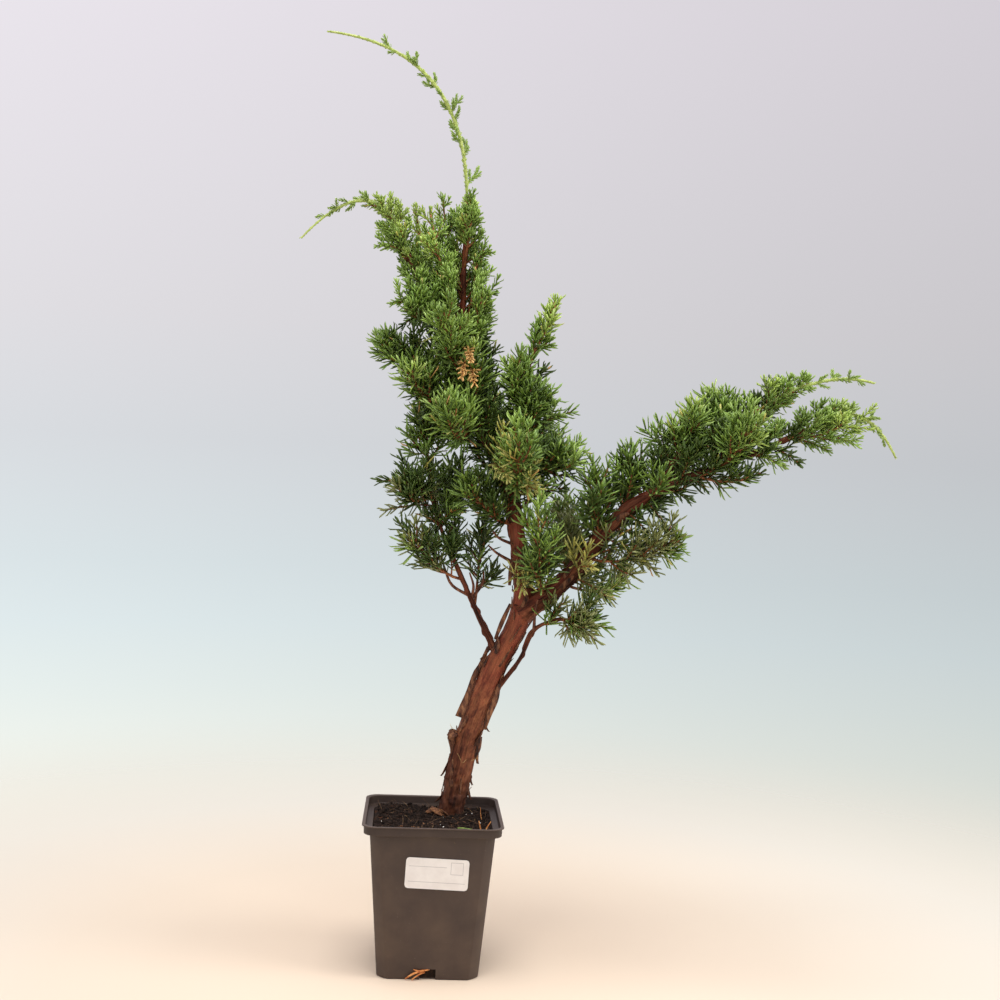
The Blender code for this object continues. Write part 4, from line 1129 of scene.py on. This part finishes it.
def crownShoots():
    # All shoots of three points, with their kind, their spray's number and their length; those
    # that would touch a limb, or are very short, are left out.
    stems, turns, reach, mains, owner = growCrown()
    rng = np.random.default_rng(51)
    shoots, kinds, sprays = [], [], []

    def add(kind, ends, numbers):
        shoots.append(ends)
        kinds.append(np.full(len(ends), kind))
        sprays.append(numbers)

    def addSubs(parents, numbers, count, part, kind="side"):
        # count side twigs on each parent, the longest part of its length; old foliage has fewer
        which, m = eachWith(np.arange(len(parents)), count)
        own = np.linalg.norm(parents[:, 2] - parents[:, 0], axis=1)[which]
        shares = 0.16 + 0.72 * (m + rng.uniform(0, 0.6, len(m))) / count
        length = own * part * (1.15 - 0.55 * shares) * rng.uniform(0.8, 1.15, len(m))
        azimuth = rng.uniform(0, 6.28, len(parents))[which] + m * goldenAngle
        kept = rng.random(len(m)) < growth["subShare"] + youth(parents[which, 2])
        subs = twigsFrom(parents[which], shares, azimuth, length, growth["lift"][2])
        add(kind, subs[kept], numbers[which][kept])

    stemNumbers = np.arange(len(stems))
    slim = stemNumbers < len(whips)
    add("stem", stems, stemNumbers * 100)
    rank = np.concatenate([np.arange((owner == n).sum()) for n in stemNumbers])
    mainNumbers = owner * 100 + 1 + rank
    leafy = ~slim[owner]
    add("main", mains[leafy], mainNumbers[leafy])
    add("whipTwig", mains[~leafy], mainNumbers[~leafy])
    # finer twigs between the main ones, also on the bare part
    count = growth["extraTwigs"]
    of, k = eachWith(stemNumbers[~slim], count)
    shares = 0.08 + 0.88 * (k + 0.5) / count
    length = reach[of] * 0.8 * (1.15 - 0.45 * shares) * rng.uniform(0.6, 1.25, len(of))
    length = length * (1 - 0.45 * ease(185, 250, stems[of, 2, 0] / mm))
    extra = twigsFrom(stems[of], shares, turns[of] + 1.2 + k * goldenAngle, length,
                      growth["lift"][1])
    thin = [len(whips) + list(foliage).index(name) for name in growth["thin"]]
    full = ~(np.isin(of, thin) & (k % 2 > 0))
    extra, extraNumbers = extra[full], (of * 100 + 20 + k)[full]
    add("finer", extra, extraNumbers)
    fromLimbs, limbNumbers = limbShoots()
    add("limb", fromLimbs, limbNumbers)
    # sub-twigs on the main and finer twigs and the limbs' own sprays
    addSubs(mains[leafy], mainNumbers[leafy], growth["subTwigs"], 0.58)
    addSubs(extra, extraNumbers, 2, 0.55)
    addSubs(fromLimbs, limbNumbers, 7, 0.55)
    addSubs(mains[~leafy], mainNumbers[~leafy], 2, 0.5, "whipSide")
    # green twigs on the whips' lower part
    of, k = eachWith(stemNumbers[slim], 12)
    foot = twigsFrom(stems[of], 0.01 + 0.034 * k, turns[of] + k * goldenAngle,
                     (15 - 0.8 * k) * rng.uniform(0.8, 1.1, len(of)) * mm, 0.3)
    leafyFoot = of > 0  # the leader's are few and scaly like its tip
    scaly = ~leafyFoot & (k % 3 == 1)
    footNumbers = np.where(leafyFoot, sprayNumbers["foot"] + of * 100 + k, of * 100 + 40 + k)
    add("finer", foot[leafyFoot], footNumbers[leafyFoot])
    addSubs(foot[leafyFoot], footNumbers[leafyFoot], 3, 0.5)
    add("whipSide", foot[scaly], footNumbers[scaly])
    addSubs(foot[scaly], footNumbers[scaly], 3, 0.4, "whipSide")
    # short side shoots all along the whips, leaning forward
    of, k = eachWith(stemNumbers[slim], 11)
    short = twigsFrom(stems[of], 0.3 + 0.06 * k, turns[of] + 2 + k * goldenAngle,
                      (8.5 - 0.4 * k) * rng.uniform(0.5, 1.1, len(of)) * mm)
    add("whipSide", short, of * 100 + 60 + k)
    odd = np.array([(a, (np.add(a, b) / 2 + (0, 0, 3)), b) for a, b, *_ in oddSprays]) * mm
    oddNumbers = sprayNumbers["odd"] + np.arange(len(odd))
    add("odd", odd, oddNumbers)
    leafyOdd = np.array([colour != "dry" for *_, colour in oddSprays])
    addSubs(odd[leafyOdd], oddNumbers[leafyOdd], 4, 0.5)
    shoots, kinds, sprays = (np.concatenate(v) for v in (shoots, kinds, sprays))
    way = np.linalg.norm(np.diff(shoots, axis=1), axis=2).sum(axis=1)
    middle = bendAt(shoots, np.full(len(shoots), 0.6))
    fits = (clearOf(shoots[:, 2], 1.5 * mm) & clearOf(middle, 0.8 * mm) & (way > 4 * mm)
            & ~inBarePlace(middle) & ~inBarePlace(shoots[:, 2])) | np.isin(kinds, ("stem", "odd"))
    return shoots[fits], kinds[fits], sprays[fits], way[fits]


def stemTubes(ends, thick, thin, rows=7, sides=5):
    # tubes along the curves, with a ring square to the whole shoot at each row
    share = np.linspace(0, 1, rows)
    line = bendAt(ends[:, None], np.broadcast_to(share, (len(ends), rows)))
    whole = unit(ends[:, 2] - ends[:, 0])
    side = sideways(whole, np.zeros(len(ends)))
    radius = (thick + (thin - thick) * share)[:, None]
    return sweep(line, radius * side[:, None], radius * np.cross(whole, side)[:, None],
                 circle(sides))


def needleRows(ends, way, first, rng, young, length):
    # Needles stand in whorls of three, each whorl turned by 60 degrees, and lean forward more
    # towards the shoot's tip, where they are shorter too. Their width, spacing and lean go from
    # those of old foliage to those of young foliage with young, 0 to 1 for each shoot.
    whorl = growth["whorl"]
    count = np.maximum(1, np.round(way * (1 - first) / graded("whorlStep", young)).astype(int))
    which = np.repeat(np.arange(len(ends)), count * whorl)
    order = np.arange(len(which)) - np.repeat(np.cumsum(count * whorl) - count * whorl,
                                              count * whorl)
    ringNo, seat = order // whorl, order % whorl
    share = first[which] + (1 - first[which]) * (ringNo + 0.75) / count[which]
    share = np.clip(share + rng.normal(0, 0.012, len(share)), 0, 1)
    azimuth = (rng.uniform(0, 6.28, len(ends))[which] + ringNo * math.pi / whorl
               + seat * 2 * math.pi / whorl + rng.normal(0, 0.14, len(share)))
    ahead = headingAt(ends[which], share)
    out = sideways(ahead, azimuth)
    foot, tip = graded("lean", young)[which], graded("leanTip", young)[which]
    tilt = np.radians(foot + (tip - foot) * share ** 1.5)
    tilt = (tilt * rng.normal(1, 0.14, len(share)))[:, None]
    heading = np.cos(tilt) * ahead + np.sin(tilt) * out
    wide = np.cross(ahead, out)
    inner = np.sin(tilt) * ahead - np.cos(tilt) * out  # the needle's flat upper side
    size = length[which] * (1.05 - 0.35 * share ** 3)
    size = (size * rng.uniform(0.72, 1.15, len(share)))[:, None]
    root = bendAt(ends[which], share)
    half = graded("needleHalf", young)[which][:, None]
    keel = growth["keel"] * half
    foot = root + 0.02 * size * heading
    curve = rng.uniform(-0.02, 0.10, size.shape) * size
    bent = root + growth["shoulder"] * size * heading - curve * inner
    edge = 0.25 * keel
    ring = [a * wide + b * inner for a, b in ((half, edge), (-half, edge), (0.0, -keel))]
    points = [foot + 0.8 * off for off in ring] + [bent + off for off in ring]
    return np.stack((*points, root + size * heading), 1), which


# corners of one needle: foot ring 0 1 2, middle ring 3 4 5, tip 6; the first three triangles
# are its flat upper side
needleFaces = np.array((
    (0, 1, 4), (0, 4, 3), (3, 4, 6), (1, 2, 5), (1, 5, 4), (4, 5, 6), (2, 0, 3), (2, 3, 5),
    (5, 3, 6), (0, 2, 1)))

# colours of the sprays, as leaf and paler upper face; deep and bright partly paint shade and light
sprayColours = {
    "deep": ("#46581f", "#536a30"),
    "mid": ("#738d36", "#86a452"),
    "bright": ("#8aa648", "#9db761"),
    "fresh": ("#a5bc56", "#b8cc74"),
    "grey": ("#7d8347", "#979b66"),
    "pale": ("#b5b055", "#c4bf6e"),
    "dry": ("#c9954f", "#dbae6c"),
}
# the whips' small scale leaves, in the same way: on their stems and on their side shoots
scaleColours = {"scaleLeaf": ("#b3c466", "#c8d486"), "sideLeaf": ("#8fa850", "#a5bb6a")}


def putNeedles(name, leaf, needles, colours, slot, nodes=()):
    faces = needleFaces + 7 * np.arange(len(needles))[:, None, None]
    finishes = [needleFinish(leaf + side, hue) for side, hue in zip(("", "Upper"), colours)]
    piece = putMesh(name, needles.reshape(-1, 3), [faces.reshape(-1, 3)], finishes)
    upper = np.tile((np.arange(len(needleFaces)) < 3).astype(np.int32), len(needles))
    piece.data.polygons.foreach_set("material_index", upper)
    print(f"{name}: {len(needles)} needles")
    keep(piece, slot, *nodes)


def needleFinish(name, colour):
    # Juniper needle: a firm waxy leaf, satin; the upper side has paler bands of wax. Colour
    # drifts slightly from spray to spray over 30 mm.
    finish, tree, shader = newFinish(name, colour, 0.38, 1.45, 0.45)
    drift = lumps(tree, addNode(tree, "TexCoord", out="Object"), 30 * mm, 2)
    value = addNode(tree, "MapRange", (drift, 0.3, 0.7, 0.82, 1.18))
    varied = addNode(tree, "HueSaturation", {"Value": value, "Color": colour})
    feed(tree, shader, {"Base Color": varied})
    return finish


def dealColours(sprays, tips, rng):
    # A colour for each spray: young sprays are brighter and the low ones at the right and left
    # greyer. Painted light and shade too: sprays near the trunk or bough are dealt deeper colours as
    # painted shade inside the crown, high, outer and front ones brighter as painted light, and the
    # bough's end a little less bright.
    names = list(sprayColours)
    unique, index = np.unique(sprays, return_inverse=True)
    centre = np.stack([np.bincount(index, tips[:, k]) / np.bincount(index) for k in range(3)], -1)
    inner = np.array([np.min(np.linalg.norm(limbSpots - c, axis=1)) for c in centre]) / mm
    x, y, z = centre.T / mm
    # painted shade and light: closeness to a limb makes a spray deeper, height and the front make it
    # brighter
    bright = (0.6 * youth(centre) + 0.5 * ease(6, 42, inner) + 0.2 * ease(290, 400, z)
              + 0.05 * ease(10, -50, y) - 0.2 * ease(165, 240, x)
              + rng.normal(0.05, 0.24, len(unique)))
    kind = np.digitize(bright, (0.36, 0.72, 1.08))
    low = ((x > 75) & (z < 305)) | ((x < -5) & (z < 318))
    kind[low & (rng.random(len(unique)) < 0.5)] = names.index("grey")
    kind[rng.random(len(unique)) < 0.008] = names.index("pale")
    for number, (*_, colour) in enumerate(oddSprays):
        if colour:
            kind[unique == sprayNumbers["odd"] + number] = names.index(colour)
    kind = kind[index]
    lone = rng.random(len(kind))
    kind[lone < 0.003] = names.index("dry")
    kind[lone > 0.99] = names.index("pale")
    return kind


def makeCrown():
    shoots, kinds, sprays, way = crownShoots()
    rng = np.random.default_rng(61)
    print(f"crown: {len(shoots)} shoots, {way.sum():.1f} m of them")
    slim = sprays // 100 < len(whips)
    # brown twigs: stems, main and finer twigs; green twigs: the youngest
    woody = [stemTubes(shoots[np.isin(kinds, lot) & ~slim], thick * mm, thin * mm)
             for lot, thick, thin in ((("stem",), 1.15, 0.5), (("main", "limb"), 0.8, 0.35),
                                      (("finer", "odd"), 0.65, 0.3))]
    putTubes("twigs_brown", np.concatenate(woody), brownTwig, "bark")
    green = stemTubes(shoots[kinds == "side"], 0.45 * mm, 0.25 * mm)
    putTubes("twigs_green", green, greenTwig, "foliage")
    # needles: the stem is bare near its limb
    ends, kind = shoots[~slim], kinds[~slim]
    first = np.where(kind == "stem", 0.22, np.where(kind == "side", 0.06, 0.12))
    young = youth(ends[:, 2])
    length = graded("needle", young)
    length[kind == "odd"] = [reach * mm for _, _, reach, _ in oddSprays]
    needles, which = needleRows(ends, way[~slim], first, rng, young, length)
    low, high = (np.array(v) for v in boxAtLoad)
    room = 0.02 * (high - low)
    tips = needles[:, 6]
    inside = ((tips > low - room) & (tips < high + room)).all(axis=1)
    inside &= clearOf(tips, 0.0) & ~inBarePlace(tips)
    needles = needles[inside]
    shade = dealColours(sprays[~slim][which][inside], needles[:, 6], rng)
    for number, (name, colours) in enumerate(sprayColours.items()):
        putNeedles(f"needles_{name}", f"{name}Needle", needles[shade == number], colours,
                   "foliage", foliage if name == "mid" else ())
    # whips: slim stems with small scale leaves pressed to them
    ends, kind = shoots[slim], kinds[slim]
    slimStems = stemTubes(ends[kind == "stem"], 1.25 * mm, 0.95 * mm, 40, 6)
    putTubes("whip_stems", slimStems, freshTwig, "fresh_foliage")
    sides = stemTubes(ends[kind != "stem"], 0.5 * mm, 0.25 * mm)
    putTubes("whip_side_stems", sides, freshTwig, "fresh_foliage")
    first = np.where(kind == "stem", 0.02, 0.0)
    scales, which = needleRows(ends, way[slim], first, rng, np.full(len(ends), 1.8),
                               np.full(len(ends), 3.6 * mm))
    onStem = (kind == "stem")[which]
    for name, leaf, chosen, nodes in (("whip_leaves", "scaleLeaf", onStem, whips),
                                      ("whip_side_leaves", "sideLeaf", ~onStem, ())):
        putNeedles(name, leaf, scales[chosen], scaleColours[leaf], "fresh_foliage", nodes)


# Brown twig: young bark, thin and orange brown, satin. Green twig: not yet woody.
brownTwig = grownFinish("youngBark", ("#5f3420", "#8c4f2c", "#a96a3c"), 3 * mm, 0.6)
greenTwig = grownFinish("greenTwig", ("#55602a", "#6f7a38", "#8b8a48"), 3 * mm, 0.55)
freshTwig = grownFinish("freshTwig", ("#98a952", "#adbb62", "#bfc875"), 3 * mm, 0.5)


# Making

makePot()
print("pot made")
makeSoil()
strewSoil()
print("soil made")
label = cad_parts["label"]
label.data.materials.clear()
label.data.materials.append(labelPaper())
for order, limbName in enumerate(limbs):
    makeLimb(limbName, 100 + 10 * order)
makeKnob()
bentPieces("dead_twigs", deadTwigs, deadWood, "bark", circle(7), 16)
bentPieces("drain_roots", drainRoots, orangeStick, "soil", circle(7), 16)
peelBark()
print("bark made")
makeCrown()
print("crown made")


# Stage, light and camera

stage = {
    "floorRadius": 3.0,
    "fade": (0.15, 0.95),  # where the floor's cream fades into the backdrop, in metres
    "ambient": 0.78,  # light from the backdrop, as a share of what it shows
    # soft boxes: power in watts, size and place, all aimed at the tree's middle
    "lamps": {
        "topBox": (24, 1.0, (0.0, -0.35, 1.9)),
        "rightBox": (14, 0.8, (1.5, -0.5, 0.9)),
        "frontBox": (6, 0.9, (-0.5, -1.6, 1.1)),
    },
    "aim": (0.08, 0, 0.3),
    # the photograph's viewpoint, fitted to the pot's corners
    "lens": 50.04,
    "eye": (-0.01723, -0.91198, 0.32112),
    "right": (0.99754, -0.05775, 0.03973),
    "above": (-0.03872, 0.01842, 0.99908),
    "ahead": (0.05843, 0.99816, -0.01614),
}


def makeFloor():
    # a flat disc at z = 0 whose paint is cream round the pot, paler outwards, and fades out into
    # the backdrop
    ring = np.column_stack((circle(128) * stage["floorRadius"], np.zeros(128)))
    finish, tree, shader = newFinish("studioFloor", "#e3dac8", 0.75, 1.45)
    away = addNode(tree, "VectorMath", [addNode(tree, "TexCoord", out="Object")], "Value",
                   operation="LENGTH")
    paint = addNode(tree, "ValToRGB", [away],
                    stops=((0.10, "#ead6be"), (0.24, "#e3d3be"), (0.45, "#dfd8cb")))
    feed(tree, shader, {"Base Color": paint})
    fade = addNode(tree, "MapRange", (away, *stage["fade"]), interpolation_type="SMOOTHSTEP")
    clear = addNode(tree, "BsdfTransparent")
    mix = addNode(tree, "MixShader", (fade, shader.outputs["BSDF"], clear))
    feed(tree, tree.nodes["Material Output"], {"Surface": mix})
    putMesh("floor", ring, [np.arange(128)[None]], [finish], False)


def makeLight():
    world = bpy.data.worlds.new("studio")
    bpy.context.scene.world = world
    world.use_nodes = True
    tree = world.node_tree
    direction = addNode(tree, "TexCoord", out="Generated")
    x, z = (addNode(tree, "SeparateXYZ", [direction], axis) for axis in "XZ")
    sky = addNode(tree, "ValToRGB", [addNode(tree, "MapRange", (z, -0.4, 0.4))], stops=(
        (0.18, "#f0ecdf"), (0.255, "#e6eae3"), (0.31, "#dde5e3"), (0.363, "#d6e0e2"),
        (0.417, "#d1dadd"), (0.525, "#cfd2d6"), (0.633, "#d6d4d8"), (0.894, "#e0dbe2")))
    # the backdrop darkens a little to the right, and lights the tree less than it shows
    across = addNode(tree, "MapRange", (x, -0.36, 0.44, 1.14, 0.86))
    seen = addNode(tree, "LightPath", out="Is Camera Ray")
    share = addNode(tree, "MapRange", (seen, 0, 1, stage["ambient"], 1))
    strength = addNode(tree, "Math", (across, share), operation="MULTIPLY")
    feed(tree, tree.nodes["Background"], {"Color": sky, "Strength": strength})
    for name, (power, size, place) in stage["lamps"].items():
        data = bpy.data.lights.new(name, "AREA")
        data.energy, data.size = power, size
        lamp = bpy.data.objects.new(name, data)
        bpy.context.scene.collection.objects.link(lamp)
        lamp.location = place
        aim = Vector(stage["aim"]) - Vector(place)
        lamp.rotation_euler = aim.to_track_quat("-Z", "Y").to_euler()


def makeCamera():
    data = bpy.data.cameras.new("view")
    data.lens, data.sensor_width = stage["lens"], 36
    camera = bpy.data.objects.new("view", data)
    bpy.context.scene.collection.objects.link(camera)
    back = [-v for v in stage["ahead"]]
    turn = Matrix((stage["right"], stage["above"], back)).transposed()
    camera.matrix_world = Matrix.Translation(stage["eye"]) @ turn.to_4x4()
    bpy.context.scene.camera = camera


makeFloor()
makeLight()
makeCamera()
bpy.context.scene.view_settings.view_transform = "Standard"
bpy.context.view_layer.update()
